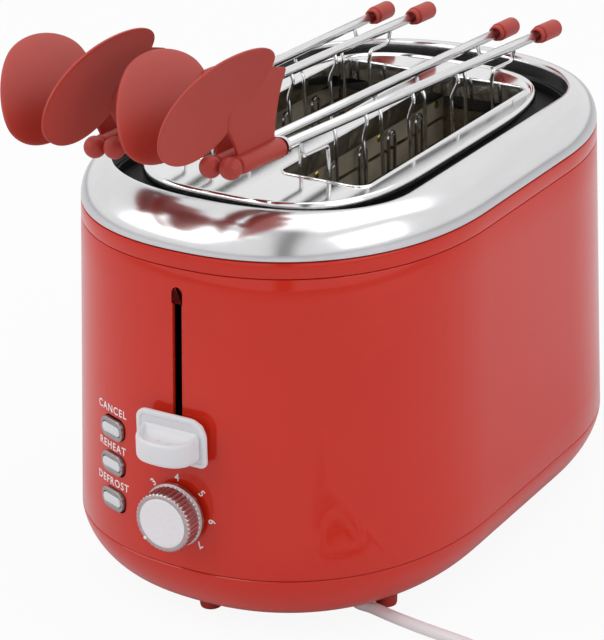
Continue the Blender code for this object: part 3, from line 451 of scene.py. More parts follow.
def block(low, high, bevel=0.0, segments=3, upright=None, upright_segments=8):
    """A box with rounded edges. upright rounds the four edges along one axis first: (axis number, radius)."""
    bm = bmesh.new()
    bmesh.ops.create_cube(bm, size=1.0)
    size = [h - l for l, h in zip(low, high)]
    middle = [(h + l) / 2 for l, h in zip(low, high)]
    bmesh.ops.scale(bm, vec=size, verts=bm.verts[:])
    bmesh.ops.translate(bm, vec=middle, verts=bm.verts[:])
    if upright:
        axis, radius = upright
        rounded(bm, edges_along(bm, axis), radius, upright_segments)
    if bevel:
        rounded(bm, sharp_edges(bm, 0.7), bevel, segments)
    return bm


def lathe(profile, centre, axis, steps=48):
    """A turned shape: profile holds (distance along the axis, radius). An end with radius 0 is closed."""
    bm = bmesh.new()
    along = Vector(axis).normalized()
    spoke = along.orthogonal().normalized()
    verts = [bm.verts.new(Vector(centre) + along * distance + spoke * radius) for distance, radius in profile]
    turned = verts + [bm.edges.new(pair) for pair in zip(verts, verts[1:])]
    bmesh.ops.spin(
        bm, geom=turned, cent=centre, axis=along, angle=math.tau, steps=steps, use_merge=True, dvec=(0, 0, 0)
    )
    bmesh.ops.remove_doubles(bm, verts=bm.verts[:], dist=DOUBLES)
    return bm


# %% Bent wires
def rounded_run(points, radius, steps=5):
    """A line through points with each corner rounded to a radius, as a bent wire has."""
    spots = [Vector(point) for point in points]
    path = [spots[0]]
    for before, corner, after in zip(spots, spots[1:], spots[2:]):
        reach = min(radius, (corner - before).length * 0.48, (after - corner).length * 0.48)
        start = corner + (before - corner).normalized() * reach
        end = corner + (after - corner).normalized() * reach
        for i in range(steps + 1):
            t = i / steps
            path.append(start.lerp(corner, t).lerp(corner.lerp(end, t), t))
    return path + [spots[-1]]


def wire_curve(name, path, radius, rounds):
    """A round wire along a path, as a curve of one open spline with closed ends."""
    curve = bpy.data.curves.new(name, "CURVE")
    curve.dimensions = "3D"
    curve.bevel_depth = radius
    curve.bevel_resolution = rounds
    curve.use_fill_caps = True
    line = curve.splines.new("POLY")
    line.points.add(len(path) - 1)
    for spot, point in zip(line.points, path):
        spot.co = (*point, 1.0)
    return curve


def curve_bmesh(curve):
    """A curve or a text as a bmesh, with its doubles still in it."""
    made = bpy.data.objects.new("scratch", curve)
    scene.collection.objects.link(made)
    bm = bmesh.new()
    bm.from_mesh(evaluated_mesh(made))
    bpy.data.objects.remove(made)
    return bm


def wire_bmesh(path, radius, rounds=3):
    """A round wire along a path, closed at both ends."""
    bm = curve_bmesh(wire_curve("scratch", path, radius, rounds))
    bmesh.ops.remove_doubles(bm, verts=bm.verts[:], dist=DOUBLES)
    return bm


print("tools ready")


# %% [markdown]
# ## The mains cord
#
# The cord is a round white lead, 5.4 mm thick and 0.96 m long. It leaves a strain relief in a bay under the
# base, drops to the table, passes under the rim and lies in one easy bend. What the photograph doesn't show is
# wound into a coil of two layers outside the picture. One curve of one spline holds the whole length, so it
# can be measured from end to end. A simulation would give the same lie with less control over the coil.

# %% The cord's facts and its free part
CORD_RADIUS = 2.7
CORD_FLOOR = 2.9
CORD_EXIT = (38.0, -66.3, 12.0)
COIL_CENTRE = (149.7, -172.0)
COIL_OUTER, COIL_PITCH, COIL_RISE = 36.3, 6.7, 6.4
COIL_START = math.radians(10.0)
COIL_LAYER_TURNS, COIL_CLIMB_TURNS, COIL_TURN_POINTS = 1.79, 0.5, 60
CORD_BENDS = (
    (38.0, -71.7, 12.0),
    (39.4, -77.6, 10.2),
    (42.6, -83.2, 8.0),
    (47.2, -88.0, 5.7),
    (52.6, -91.8, 3.8),
    (58.2, -94.6, 3.0),
    (64.5, -95.0, CORD_FLOOR),
    (75.0, -97.3, CORD_FLOOR),
    (86.0, -99.3, CORD_FLOOR),
    (97.5, -100.9, CORD_FLOOR),
    (109.0, -102.2, CORD_FLOOR),
    (121.0, -104.1, CORD_FLOOR),
    (139.3, -108.2, CORD_FLOOR),
    (155.4, -115.3, CORD_FLOOR),
    (168.6, -125.1, CORD_FLOOR),
    (178.2, -137.4, CORD_FLOOR),
)


def smooth_line(points, steps):
    """Points along a smooth curve that passes through the given ones."""
    spots = [Vector(point) for point in points]
    spots = [2 * spots[0] - spots[1]] + spots + [2 * spots[-1] - spots[-2]]
    line = []
    for a, b, c, d in zip(spots, spots[1:], spots[2:], spots[3:]):
        for i in range(steps):
            t = i / steps
            bend, twist = 2 * a - 5 * b + 4 * c - d, 3 * b - a - 3 * c + d
            line.append(0.5 * (2 * b + (c - a) * t + bend * t**2 + twist * t**3))
    return line + [spots[-2]]


# %% The coil's turns
def coil_line():
    """In along the table, up a layer, and out again over it, then a straight end to the plug."""
    turns = 2 * COIL_LAYER_TURNS + COIL_CLIMB_TURNS
    count = round(turns * COIL_TURN_POINTS)
    line = []
    for i in range(count + 1):
        passed = turns * i / count
        climb = min(max((passed - COIL_LAYER_TURNS) / COIL_CLIMB_TURNS, 0.0), 1.0)
        climb = climb * climb * (3 - 2 * climb)
        inwards = min(passed, COIL_LAYER_TURNS) - max(passed - COIL_LAYER_TURNS - COIL_CLIMB_TURNS, 0.0)
        radius = COIL_OUTER - COIL_PITCH * inwards
        angle = COIL_START - math.tau * passed
        x, y = COIL_CENTRE[0] + radius * math.cos(angle), COIL_CENTRE[1] + radius * math.sin(angle)
        line.append(Vector((x, y, CORD_FLOOR + COIL_RISE * climb)))
    ends = (COIL_START, COIL_START - math.tau * turns)
    return line, *(Vector((math.sin(angle), -math.cos(angle), 0)) for angle in ends)


coil, coil_in, coil_out = coil_line()
join = coil[0] - coil_in * (2 * CORD_RADIUS + 0.3)
free_part = smooth_line(CORD_BENDS + (tuple(join - coil_in * 2 * CORD_RADIUS),), 5)
cord_line = [Vector(CORD_EXIT)] + free_part + [join] + coil + [coil[-1] + coil_out * 2 * CORD_RADIUS]
cord_length = sum((b - a).length for a, b in zip(cord_line, cord_line[1:]))
print("cord", round(cord_length), "mm in", len(cord_line), "points")

# %% The cord's curve, plug and strain relief
def sleeve_ribs(count, first, pitch, wide, change, tooth):
    """The soft ribs of a strain relief: tooth holds each rib's steps along and out, change its widening."""
    starts = [(first + i * pitch, wide + i * change) for i in range(count)]
    return [(start + along, width + out) for start, width in starts for along, out in tooth]


cord_curve = wire_curve("Mains cord", [in_frame(point) for point in cord_line], CORD_RADIUS * MM, 6)
cord_curve.splines[0].use_smooth = True
cord_curve.materials.append(CORD_WHITE)
cord = bpy.data.objects.new("mains_cord", cord_curve)
scene.collection.objects.link(cord)
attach(cord, "housing")
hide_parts("power_cord", "cord_coil")

PLUG_REACH, PIN_OFFSET = 41.0, 9.5
plug_entry = coil[-1] + coil_out * (2 * CORD_RADIUS + 0.3)
plug_centre = plug_entry + coil_out * PLUG_REACH
plug_centre.z = 0.0
plug_across = Vector((-coil_out.y, coil_out.x, 0))
plug_profile = [(0.3, 0), (0.3, 15.0), (0.9, 16.8), (2.4, 17.8), (9.0, 18.3), (13.5, 18.0), (16.0, 17.3)]
plug_profile += [(17.0, 16.2), (17.2, 15.0), (17.2, 4.0), (16.2, 3.6), (16.2, 0)]
relief_tooth = [(0, 0), (1.6, 0.15), (1.7, -0.5), (2.5, -0.45)]
relief_profile = [(0.0, 0), (0.0, 3.3)] + sleeve_ribs(9, 1.0, 2.6, 3.705, 0.273, relief_tooth)
relief_profile += [(25.0, 6.6), (29.5, 6.9), (29.5, 0)]
plug_shape = lathe(plug_profile, plug_centre, (0, 0, 1), 64)
plug_shape = join_into(plug_shape, lathe(relief_profile, plug_entry, coil_out, 32))
pin_profile = [(15.5, 0), (15.5, 2.4), (34.0, 2.4), (35.6, 1.6), (36.0, 0.8), (36.0, 0)]
for side in (-1, 1):
    foot = plug_centre + plug_across * PIN_OFFSET * side
    plug_shape = join_into(plug_shape, lathe(pin_profile, foot, (0, 0, 1), 24))
plug = finish_mesh(plug_shape, "mains_plug", "housing", PLUG_WHITE, ["plug"])

GRIP_Y = -44.0
grip_profile = [(-3.0, 0), (-3.0, 4.5), (0.35, 4.5), (0.45, 6.1), (1.8, 6.1), (2.0, 5.0)]
grip_profile += sleeve_ribs(6, 2.6, 3.0, 4.9, -0.26, [(0, 0), (1.7, -0.08), (1.8, -0.75), (2.8, -0.8)])
grip_profile += [(21.6, 3.1), (21.9, 2.9), (21.9, 0)]
grip = lathe(grip_profile, (CORD_EXIT[0], GRIP_Y, CORD_EXIT[2]), (0, -1, 0), 40)
finish_mesh(grip, "strain_relief", "housing", PLUG_WHITE, ["cord_grip"])
print("cord, plug and strain relief in place")

# %% [markdown]
# ## Rings that follow the housing's plan
#
# The shell, the base, the rims and the chrome ring all go round the same plan: two straight sides and two
# round ends that are a little squarer than a half circle. Each is one circle of points laid on the plan and
# then extruded again and again, each new circle moved to the next height and inset. A number kept on every
# point, its share of the way round, says where it belongs on any plan.

# %% Plans and sections
RING_POINTS = 192
BASE_PLAN = (HALF_WIDTH, HALF_LENGTH, STRAIGHT, ROUNDNESS)


def eased_corner(value, power):
    """A value between -1 and 1 raised to a power, its sign kept. Powers below 1 square a circle's corners."""
    return math.copysign(abs(value) ** power, value)


def round_the_way(share):
    """The cosine and sine at a share of the way round."""
    return math.cos(math.tau * share), math.sin(math.tau * share)


def plan_point(share, half_width, half_length, straight, power):
    """A point of a plan, at a share of the way round."""
    c, s = round_the_way(share)
    y = (half_length - straight) * eased_corner(s, 2 / power) + math.copysign(straight, s)
    return half_width * eased_corner(c, 2 / power), y


def smaller(plan, inset):
    """A plan moved inwards all round."""
    return plan[0] - inset, plan[1] - inset, *plan[2:]


def body_scale(z):
    """The size of the housing's plan at a height, where 1 is the plan at the seam."""
    return 1 - (1 - TOP_SCALE) * (z - SEAM_Z) / (CHROME_Z - SEAM_Z)


def body_section(z, inset=0.0):
    """One section of the tapered housing: its height and its plan."""
    scale = body_scale(z)
    return z, smaller((HALF_WIDTH * scale, HALF_LENGTH * scale, STRAIGHT * scale, ROUNDNESS), inset)


def front_wall(x, z):
    """Y of the housing's outer wall at the front."""
    scale = body_scale(z)
    across = (abs(x) / (HALF_WIDTH * scale)) ** ROUNDNESS
    return -STRAIGHT * scale - (HALF_LENGTH - STRAIGHT) * scale * (1 - across) ** (1 / ROUNDNESS)


def swept_rings(sections, place_point, closed, count=RING_POINTS):
    """Extrudes a circle of points through sections. place_point(share, section) gives each point's place."""
    bm = bmesh.new()
    share = bm.verts.layers.float.new("share")
    ring = bmesh.ops.create_circle(bm, cap_ends=False, segments=count, radius=1.0)["verts"]
    for vert in ring:
        vert[share] = (math.atan2(vert.co.y, vert.co.x) / math.tau + 0.5 / count) % 1.0
    edges = bm.edges[:]
    for vert in ring:
        vert.co = place_point(vert[share], sections[0])
    if not closed:
        bmesh.ops.edgeloop_fill(bm, edges=edges)
    stops = list(sections[1:]) + ([sections[0]] if closed else [])
    for section in stops:
        made = set(bmesh.ops.extrude_edge_only(bm, edges=edges)["geom"])
        ring = [part for part in made if isinstance(part, bmesh.types.BMVert)]
        on_ring = set(ring)
        edges = [e for e in made if isinstance(e, bmesh.types.BMEdge) and set(e.verts) <= on_ring]
        for vert in ring:
            vert.co = place_point(vert[share], section)
    if not closed:
        bmesh.ops.edgeloop_fill(bm, edges=edges)
    bmesh.ops.remove_doubles(bm, verts=bm.verts[:], dist=DOUBLES)
    return bm


def on_plan(share, section):
    """A point of a section that holds a height and a plan."""
    z, plan = section
    return (*plan_point(share, *plan), z)


def plan_rings(sections, closed=True, count=RING_POINTS):
    return swept_rings(sections, on_plan, closed, count)


print("front wall at the lever", round(front_wall(0, LEVER_Z), 1))

# %% [markdown]
# ## Base tray and feet
#
# The base is a bowl of red plastic whose side curls under to a flat bottom. The bay for the cord is a box
# sunk into the bottom, as on many table appliances, so the cord can leave without lifting the feet.

# %% Base tray
SKIRT_INSET, SKIRT_POWER, FOOT_HEIGHT, BASE_WALL = 18.0, 1.6, 6.0, 2.5


def skirt_sections(inset, floor, steps):
    """Sections down the curled side of the base."""
    sections = []
    for i in range(steps + 1):
        angle = math.pi / 2 * i / steps
        inwards = SKIRT_INSET * (1 - math.cos(angle) ** (2 / SKIRT_POWER)) + inset
        down = (SEAM_Z - FOOT_HEIGHT - floor) * math.sin(angle) ** (2 / SKIRT_POWER)
        sections.append((SEAM_Z - 0.4 - down, smaller(BASE_PLAN, inwards)))
    return sections


outside = skirt_sections(0.0, 0.4, 22)
inside = skirt_sections(BASE_WALL, BASE_WALL, 10)
rim = [(SEAM_Z - 0.05, smaller(BASE_PLAN, inset)) for inset in (0.35, BASE_WALL)]
base = plan_rings(outside[::-1] + rim + inside, closed=False, count=160)
bay_block = block((20, -101, 7), (61, -42, 21.5), 1.0)
bay = block((22, -99, 1), (59, -44, 19.5), 2.0)
gland = lathe([(-4, 0), (-4, 4.95), (6, 4.95), (6, 0)], (CORD_EXIT[0], -46, CORD_EXIT[2]), (0, 1, 0), 32)
base = boolean(boolean(base, "UNION", bay_block), "DIFFERENCE", bay, gland)
finish_mesh(base, "base", "housing", RED_BASE, ["base_tray"], 32)
print("base made")

# %% Feet
FOOT_PROFILE = [(0.4, 0), (0.4, 2.8), (0, 3.3), (0, 4.1), (0.3, 4.6), (1.1, 4.85), (5.7, 4.98), (5.7, 0)]
FEET = {"left": (-66, 84), "centre": (0, 123), "right": (66, 84)}
for end, way in (("front_", -1), ("rear_", 1)):
    for place, (x, y) in FEET.items():
        foot = lathe(FOOT_PROFILE, (x, way * y, 0), (0, 0, 1), 40)
        name = end + place
        finish_mesh(foot, "rubber_foot_" + name, "housing", RED_FEET, ["foot_" + name])
print("feet", 2 * len(FEET))

# %% [markdown]
# ## Main shell and rim band
#
# The housing is a sheet-metal can that narrows to the top, so a section every few millimetres with a little
# less width makes it. The lever's slot, the button holes and the tray's opening are cut after that, as a
# press would punch them, and the slot's edge gets a small radius that catches the light.


# %% Main shell
def wall_sections(low, high, rows):
    """Sections of a band of the housing's wall, with softly turned edges."""
    outer = [body_section(low, 0.45), body_section(low + 0.12, 0.13), body_section(low + 0.45)]
    outer += [body_section(low + 0.45 + (high - low - 0.9) * i / rows) for i in range(1, rows)]
    outer += [body_section(high - 0.45), body_section(high - 0.12, 0.13), body_section(high, 0.45)]
    return outer + [body_section(high, WALL), body_section(low, WALL)]


def wall_place(x, z):
    """A place on the front wall: X runs along the wall, Y into the housing."""
    return Matrix.Translation((x, front_wall(x, z), z)) @ Matrix.Rotation(math.radians(-20.8), 4, "Z")


shell = plan_rings(wall_sections(SEAM_Z + 0.3, BAND_Z - 0.3, 9))
cutters = [
    block((-2.3, -160, LEVER_Z - 8), (2.3, -130, 156.5), upright=(1, 2.29)),
    block((-48.8, 100, 31.8), (48.8, 170, 40.4), upright=(1, 1.2), upright_segments=4),
    lathe([(0, 0), (0, 4.3), (30, 4.3), (30, 0)], (0, -160, KNOB_Z), (0, 1, 0), 32),
]
for z in BUTTON_HEIGHTS.values():
    hole = block((-7.8, -12, -5.1), (7.8, 12, 5.1), upright=(1, 4.2))
    cutters.append(placed(hole, wall_place(BUTTON_X, z)))
shell = boolean(shell, "DIFFERENCE", *cutters)
slot_edges = []
for edge in sharp_edges(shell, 1.0):
    x, y, z = (edge.verts[0].co + edge.verts[1].co) / 2
    if abs(x) < 2.6 and LEVER_Z - 9 < z < 158 and y < front_wall(x, z) + 0.3:
        slot_edges.append(edge)
rounded(shell, slot_edges, 0.35, 3)
finish_mesh(shell, "housing_shell", "housing", RED_PAINT, ["main_shell"], 32)
band = plan_rings(wall_sections(BAND_Z, CHROME_Z - 0.3, 2))
finish_mesh(band, "rim_band", "housing", RED_PAINT, ["rim_band"], 32)
print("slot edges rounded", len(slot_edges))

# %% [markdown]
# ## Chrome ring and black gap
#
# The ring is pressed from one sheet: it rises from the housing's edge in a quarter of a rounded square, runs
# flat for a few millimetres and rolls down into the gap. Its plan changes from the housing's outline to the
# squarer opening, so each section is a mix of the two plans. A reflection shows every kink, so the dome has
# many sections. The gap's floor is a black insulator, and a thin steel liner hides the housing's wall below.

# %% Chrome ring
LIP_PLAN = (70.1, 118.0, 70.0, 2.2)
CREST_RISE, RING_SKIN, LIP_RADIUS = 15.8, 1.4, 1.6
DOME_ANGLE, DOME_POWER = math.radians(86), 2.05
RING_OUTER = body_section(CHROME_Z)[1]
RING_WIDTH = RING_OUTER[0] - LIP_PLAN[0]


def ring_section(across, rise):
    """A section of the ring at a distance in from the housing's outline and a rise over its foot."""
    part = across / RING_WIDTH
    return CHROME_Z + 0.3 + rise, tuple(a + (b - a) * part for a, b in zip(RING_OUTER, LIP_PLAN))


def dome(inset, lower, steps):
    """The quarter of a rounded square from the ring's foot to its crest."""
    points = []
    for i in range(steps + 1):
        angle = DOME_ANGLE * i / steps
        across = inset + (RING_WIDTH - 1.5) * (1 - math.cos(angle) ** (2 / DOME_POWER))
        points.append((across, (CREST_RISE - lower) * math.sin(angle) ** (2 / DOME_POWER)))
    return points


rolled_lip = []
for i in range(9):
    angle = math.pi / 2 * i / 8
    across = RING_WIDTH - LIP_RADIUS + LIP_RADIUS * math.sin(angle)
    rolled_lip.append((across, CREST_RISE - 1.75 + LIP_RADIUS * math.cos(angle)))
over = [(0.25, 0.0)] + dome(0.0, 0.1, 40)[1:] + rolled_lip[1:] + [(RING_WIDTH, CREST_RISE - 9)]
under = [(RING_WIDTH - RING_SKIN, CREST_RISE - 9), (RING_WIDTH - RING_SKIN - 0.1, CREST_RISE - 3)]
under += dome(RING_SKIN, RING_SKIN, 12)[::-1]
chrome = plan_rings([ring_section(*point) for point in over + under], count=256)
finish_mesh(chrome, "chrome_ring", "housing", CHROME, ["chrome_ring"], 40)

PLATE_PLAN, PLATE_Y = (61.7, 105.4, 23.0, 3.17), -1.4
gap_outer, gap_inner = smaller(LIP_PLAN, 0.3), smaller(PLATE_PLAN, 4.5)
skirt = smaller(gap_outer, 1.2)
liner_inner = smaller(skirt, 0.8)


def on_gap_plan(share, section):
    """A point of the plan, moved to the plate's middle if the ring is the plate's."""
    x, y, z = on_plan(share, section)
    return x, y + (PLATE_Y if section[1] is gap_inner else 0.0), z


gap_sections = [(168.0, skirt), (168.0, gap_outer), (180.0, gap_outer), (180.0, skirt), (176.0, skirt)]
gap_sections += [(176.0, gap_inner), (173.5, gap_inner), (173.5, skirt)]
gap_floor = swept_rings(gap_sections, on_gap_plan, True, 96)
finish_mesh(gap_floor, "gap_insulator", "housing", INSULATOR_BLACK, ["insulator_ring"], 35)
LINER_LOW, LINER_HIGH = 155.0, 173.2
liner_sections = [(LINER_LOW, liner_inner), (LINER_LOW, skirt), (LINER_HIGH, skirt), (LINER_HIGH, liner_inner)]
liner = plan_rings(liner_sections, count=96)
finish_mesh(liner, "inner_liner", "housing", LINER_STEEL, angle=35)
print("ring width", round(RING_WIDTH, 1))

# %% [markdown]
# ## Slot plate
#
# The plate round the slots is polished steel with a rolled edge, and each slot has a rolled collar that keeps
# crumbs off the edge. The field between them is a flat curve with three outlines, filled and made into a mesh,
# which keeps the mirror flat right up to the rolls. The whole sheet then gets its thickness.

# %% Slot plate
SLOTS = {"left": (-49.0, -7.0), "right": (7.0, 49.0)}
SLOT_FRONT, SLOT_REAR, SLOT_CORNER = -71.0, 81.5, 5.5
SLOT_LOOP, PLATE_LOOP = 4 * 14, 224


def slot_maker(low_x, high_x):
    """Gives the place of a point of a slot's rounded outline, grown by a distance, at a height."""

    def place(share, section):
        grow, z = section
        corner, step = divmod(int(share * SLOT_LOOP), SLOT_LOOP // 4)
        angle = math.pi / 2 * (corner + step / (SLOT_LOOP // 4 - 1))
        middle_x = high_x - SLOT_CORNER if corner in (0, 3) else low_x + SLOT_CORNER
        middle_y = SLOT_REAR - SLOT_CORNER if corner in (0, 1) else SLOT_FRONT + SLOT_CORNER
        radius = SLOT_CORNER + grow
        return middle_x + radius * math.cos(angle), middle_y + radius * math.sin(angle), z

    return place


def open_rings(sections, place, count):
    """Rings that stay open at both ends."""
    bm = swept_rings(sections, place, closed=False, count=count)
    caps = [face for face in bm.faces if len(face.verts) > 8]
    bmesh.ops.delete(bm, geom=caps, context="FACES_ONLY")
    return bm


def on_plate(share, section):
    """A point of the plate's outline, inset by a distance, at a height."""
    inset, z = section
    x, y = plan_point(share, *smaller(PLATE_PLAN, inset))
    return x, y + PLATE_Y, z


rim = [(0.6, 176.8), (0.1, 178.0), (0.0, 184.0), (0.1, 185.2), (0.4, 186.0), (0.85, 186.6), (1.4, 186.85)]
rim += [(1.9, 186.8), (2.4, 186.5), (2.8, 186.15), (3.0, 186.0)]
plate = open_rings(rim, on_plate, PLATE_LOOP)
collar = [(0.05, 176.8), (0.0, 178.0), (0.0, 185.9), (0.1, 186.35), (0.35, 186.65), (0.7, 186.75)]
collar += [(1.05, 186.6), (1.35, 186.25), (1.5, 186.0)]
sheet_curve = bpy.data.curves.new("plate_field", "CURVE")
sheet_curve.dimensions, sheet_curve.fill_mode = "2D", "BOTH"
outlines = [(on_plate, PLATE_LOOP, rim[-1])]
for low, high in SLOTS.values():
    plate = join_into(plate, open_rings(collar, slot_maker(low, high), SLOT_LOOP))
    outlines.append((slot_maker(low, high), SLOT_LOOP, collar[-1]))
for place_point, count, edge in outlines:
    spline = sheet_curve.splines.new("POLY")
    spline.points.add(count - 1)
    spline.use_cyclic_u = True
    for i, spot in enumerate(spline.points):
        x, y, z = place_point(i / count, edge)
        spot.co = (x, y, 0.0, 1.0)
field = placed(curve_bmesh(sheet_curve), Matrix.Translation((0, 0, PLATE_Z)))
field_faces = len(field.faces)
plate = join_into(plate, field)
bmesh.ops.remove_doubles(plate, verts=plate.verts[:], dist=0.01)
bmesh.ops.recalc_face_normals(plate, faces=plate.faces[:])
bmesh.ops.solidify(plate, geom=plate.faces[:], thickness=1.0)
finish_mesh(plate, "slot_plate", "housing", POLISHED_PLATE, ["slot_plate"], 40)
print("plate field of", field_faces, "faces")

# %% [markdown]
# ## Lever
#
# The lever is one white moulding: a plate that hides the slot's end, with larger corners at the top, and a
# thumb piece that is round in plan and scooped out on top, where the thumb presses down.


# %% Lever
def front_edges(edges, limit):
    """The edges of a list that lie wholly in front of a Y."""
    return [e for e in edges if max(vert.co.y for vert in e.verts) < limit]


LEVER_BACK, LEVER_FACE = -146.2, -149.8
THUMB_HALF, THUMB_DEPTH, THUMB_POWER = 14.0, 12.5, 2.6
lever_plate = block((-17.3, LEVER_FACE, LEVER_Z - 9), (17.1, LEVER_FACE + 1.7, LEVER_Z + 12.5))
rounded(lever_plate, edges_along(lever_plate, 1, lambda m: m.z > LEVER_Z and m.x > 0), 8.0, 14)
rounded(lever_plate, edges_along(lever_plate, 1, lambda m: m.z > LEVER_Z and m.x < -17), 4.5, 10)
rounded(lever_plate, edges_along(lever_plate, 1, lambda m: m.z < LEVER_Z - 8.9), 3.0, 8)
front_face = [f for f in lever_plate.faces if len(f.verts) > 8 and f.calc_center_median().y < LEVER_FACE + 0.1]
for rim_width, step in ((1.9, 0.0), (0.5, -0.5)):
    bmesh.ops.inset_region(
        lever_plate, faces=front_face, thickness=rim_width, depth=step, use_boundary=True, use_even_offset=True
    )
rounded(lever_plate, front_edges(sharp_edges(lever_plate, 1.2), LEVER_FACE + 0.1), 0.7, 4)
boss = block((-14.9, LEVER_FACE + 1.4, LEVER_Z - 6.6), (14.7, LEVER_BACK, LEVER_Z + 10.1), upright=(1, 3.0))


def on_thumb(share, section):
    """A point of the thumb piece: a half round in plan, on its underside, its sloping top or its dish."""
    inset, kind, offset = section
    c, s = round_the_way(share)
    x = (THUMB_HALF - inset) * eased_corner(c, 2 / THUMB_POWER)
    depth = max(-(THUMB_DEPTH - inset) * eased_corner(s, 2 / THUMB_POWER), inset - 1.6)
    if kind == "dish":
        part = min(max(depth / 11.0, 0.0), 1.0)
        height = 5.4 - 3.1 * math.sin(min(part * 1.9, 1.0) * math.pi / 2) + 0.8 * part**3
    else:
        height = 6.4 - 0.19 * depth if kind == "top" else -6.2
    return x, LEVER_FACE - depth, LEVER_Z + height + offset


thumb_sections = [(7.0, "under", 0.0), (2.4, "under", 0.0), (1.3, "under", 0.15), (0.5, "under", 0.7)]
thumb_sections += [(0.1, "under", 1.6), (0.0, "under", 2.6), (0.0, "top", -1.9), (0.08, "top", -1.2)]
thumb_sections += [(0.3, "top", -0.6), (0.65, "top", -0.2), (1.1, "top", 0.0), (1.5, "top", -0.12)]
thumb_sections += [(1.85, "top", -0.5), (2.1, "dish", 0.6), (2.5, "dish", 0.15)]
thumb_sections += [(3.0 + i, "dish", 0.0) for i in range(8)]
thumb = swept_rings(thumb_sections, on_thumb, False, 160)
lever = join_into(lever_plate, boss, thumb)
finish_mesh(lever, "lever_knob", "carriage", LEVER_WHITE, ["lever_knob"], 32)
print("lever made")

# %% [markdown]
# ## Browning knob
#
# A knob is turned work, so it is one profile spun round the axis. The ribs that the fingers hold are pressed
# in afterwards: every sixth step stays out and the ones between go in. The pointer is a small nub on the face,
# and a bright disc lies over the face. A white block on the front of each rib is a painted glint, standing in
# for the light that the rib's front edge catches.

# %% Browning knob
KNOB_STEPS, KNOB_RIB_COUNT = 240, 40
RIB_SHAPE = (0.0, 0.06, 0.4, 0.55, 0.4, 0.06)
RIBS_FROM, RIBS_TO, RIB_FADE, RIB_RADIUS = 2.4, 10.85, 0.5, 12.6
turned_side = [(0, 0), (0, 13.8), (0.15, 14.15), (0.6, 14.3), (1.7, 14.35), (2.05, 14.25), (2.2, 14.0)]
ribbed = [(2.25, 13.75)] + [(2.5 + 7.7 * i / 6, 13.65 - 0.2 * i / 6) for i in range(7)]
knob_face = [(10.45, 13.3), (10.75, 12.95), (10.93, 12.5), (11.0, 12.0), (11.0, 11.6), (10.93, 11.2)]
knob_face += [(10.8, 10.6), (10.72, 9.5), (10.68, 6.0), (10.65, 0)]
knob = lathe(turned_side + ribbed + knob_face, (0, KNOB_BACK, KNOB_Z), (0, -1, 0), KNOB_STEPS)
for vert in knob.verts:
    distance = KNOB_BACK - vert.co.y
    if RIBS_FROM < distance < RIBS_TO:
        angle = math.atan2(vert.co.z - KNOB_Z, vert.co.x) % math.tau
        step = round(angle / math.tau * KNOB_STEPS) % len(RIB_SHAPE)
        fade = min(1.0, (RIBS_TO - distance) / RIB_FADE)
        radius = math.hypot(vert.co.x, vert.co.z - KNOB_Z)
        shrink = (radius - RIB_SHAPE[step] * fade) / radius if radius > RIB_RADIUS else 1.0
        vert.co.x *= shrink
        vert.co.z = KNOB_Z + (vert.co.z - KNOB_Z) * shrink
finish_mesh(knob, "browning_knob", "knob", KNOB_RIM_PAINTED_RED_REFLECTION, ["browning_knob"], 32)
POINTER_TURN, POINTER_REACH = math.radians(225), 12.4
pointer_x, pointer_z = POINTER_REACH * math.cos(POINTER_TURN), KNOB_Z + POINTER_REACH * math.sin(POINTER_TURN)
pointer_foot = (pointer_x, KNOB_FACE + 1.2, pointer_z)
pointer = lathe([(0, 0), (0, 0.9), (1.3, 0.8), (1.5, 0.5), (1.55, 0)], pointer_foot, (0, -1, 0), 24)
finish_mesh(pointer, "knob_pointer", "knob", LABEL_WHITE)
disc_profile = [(10.2, 0), (10.2, 12.9), (10.5, 12.95), (10.75, 12.6), (10.85, 12.0), (10.97, 10.5)]
disc_profile += [(11.0, 10.2), (10.97, 9.9), (10.96, 0)]
cap_disc = lathe(disc_profile, (0, KNOB_BACK, KNOB_Z), (0, -1, 0), 128)
finish_mesh(cap_disc, "knob_face", "knob", SPUN_FACE)
# White blocks on the rib fronts: painted glints where the light catches the ribs.
painted_rib_glints = []
for i in range(KNOB_RIB_COUNT):
    glint_block = block((13.2, KNOB_BACK - 3.3, -0.42), (13.85, KNOB_BACK - 2.5, 0.42), 0.2, 2)
    turn = Matrix.Rotation(math.tau * i / KNOB_RIB_COUNT, 4, "Y")
    painted_rib_glints.append(placed(glint_block, Matrix.Translation((0, 0, KNOB_Z)) @ turn))
finish_mesh(join_into(*painted_rib_glints), "knob_rib_painted_glints", "knob", LABEL_WHITE)
print("knob with", KNOB_RIB_COUNT, "ribs")

# %% [markdown]
# ## Buttons
#
# Each button is a small white cap in a grey bezel. Both have the same outline, a strip with round ends, so
# one rounded block serves for the cap, the bezel and the hole in it. They follow the wall's turn.

# %% Buttons
BEZEL_SHIFT = {"cancel": -0.6, "reheat": 0.0, "defrost": 0.0}


def strip(half_width, half_height, corner, front, back):
    """A strip with round ends about the Y axis."""
    return block((-half_width, front, -half_height), (half_width, back, half_height), upright=(1, corner))


for name, z in BUTTON_HEIGHTS.items():
    place = wall_place(BUTTON_X - 0.6, z + BEZEL_SHIFT[name])
    bezel = boolean(strip(7.6, 4.7, 3.9, -1.3, 3.0), "DIFFERENCE", strip(6.7, 2.6, 2.5, -5, 6))
    rounded(bezel, front_edges(sharp_edges(bezel), -1.2), 0.35, 3)
    bezel = placed(bezel, place)
    finish_mesh(bezel, "button_bezel_" + name, "housing", BEZEL_GREY_PAINTED_PINK_REFLECTION, ["bezel_" + name], 32)
    cap = strip(6.35, 2.25, 2.2, -1.6, 5.0)
    rounded(cap, front_edges(sharp_edges(cap), -1.5), 0.5, 4)
    cap = placed(join_into(cap, block((-1.6, 4.6, -1.6), (1.6, 10.4, 1.6), 0.3)), place)
    finish_mesh(cap, "button_cap_" + name, name, BUTTON_WHITE, ["button_" + name], 32)
print("buttons", len(BUTTON_HEIGHTS))

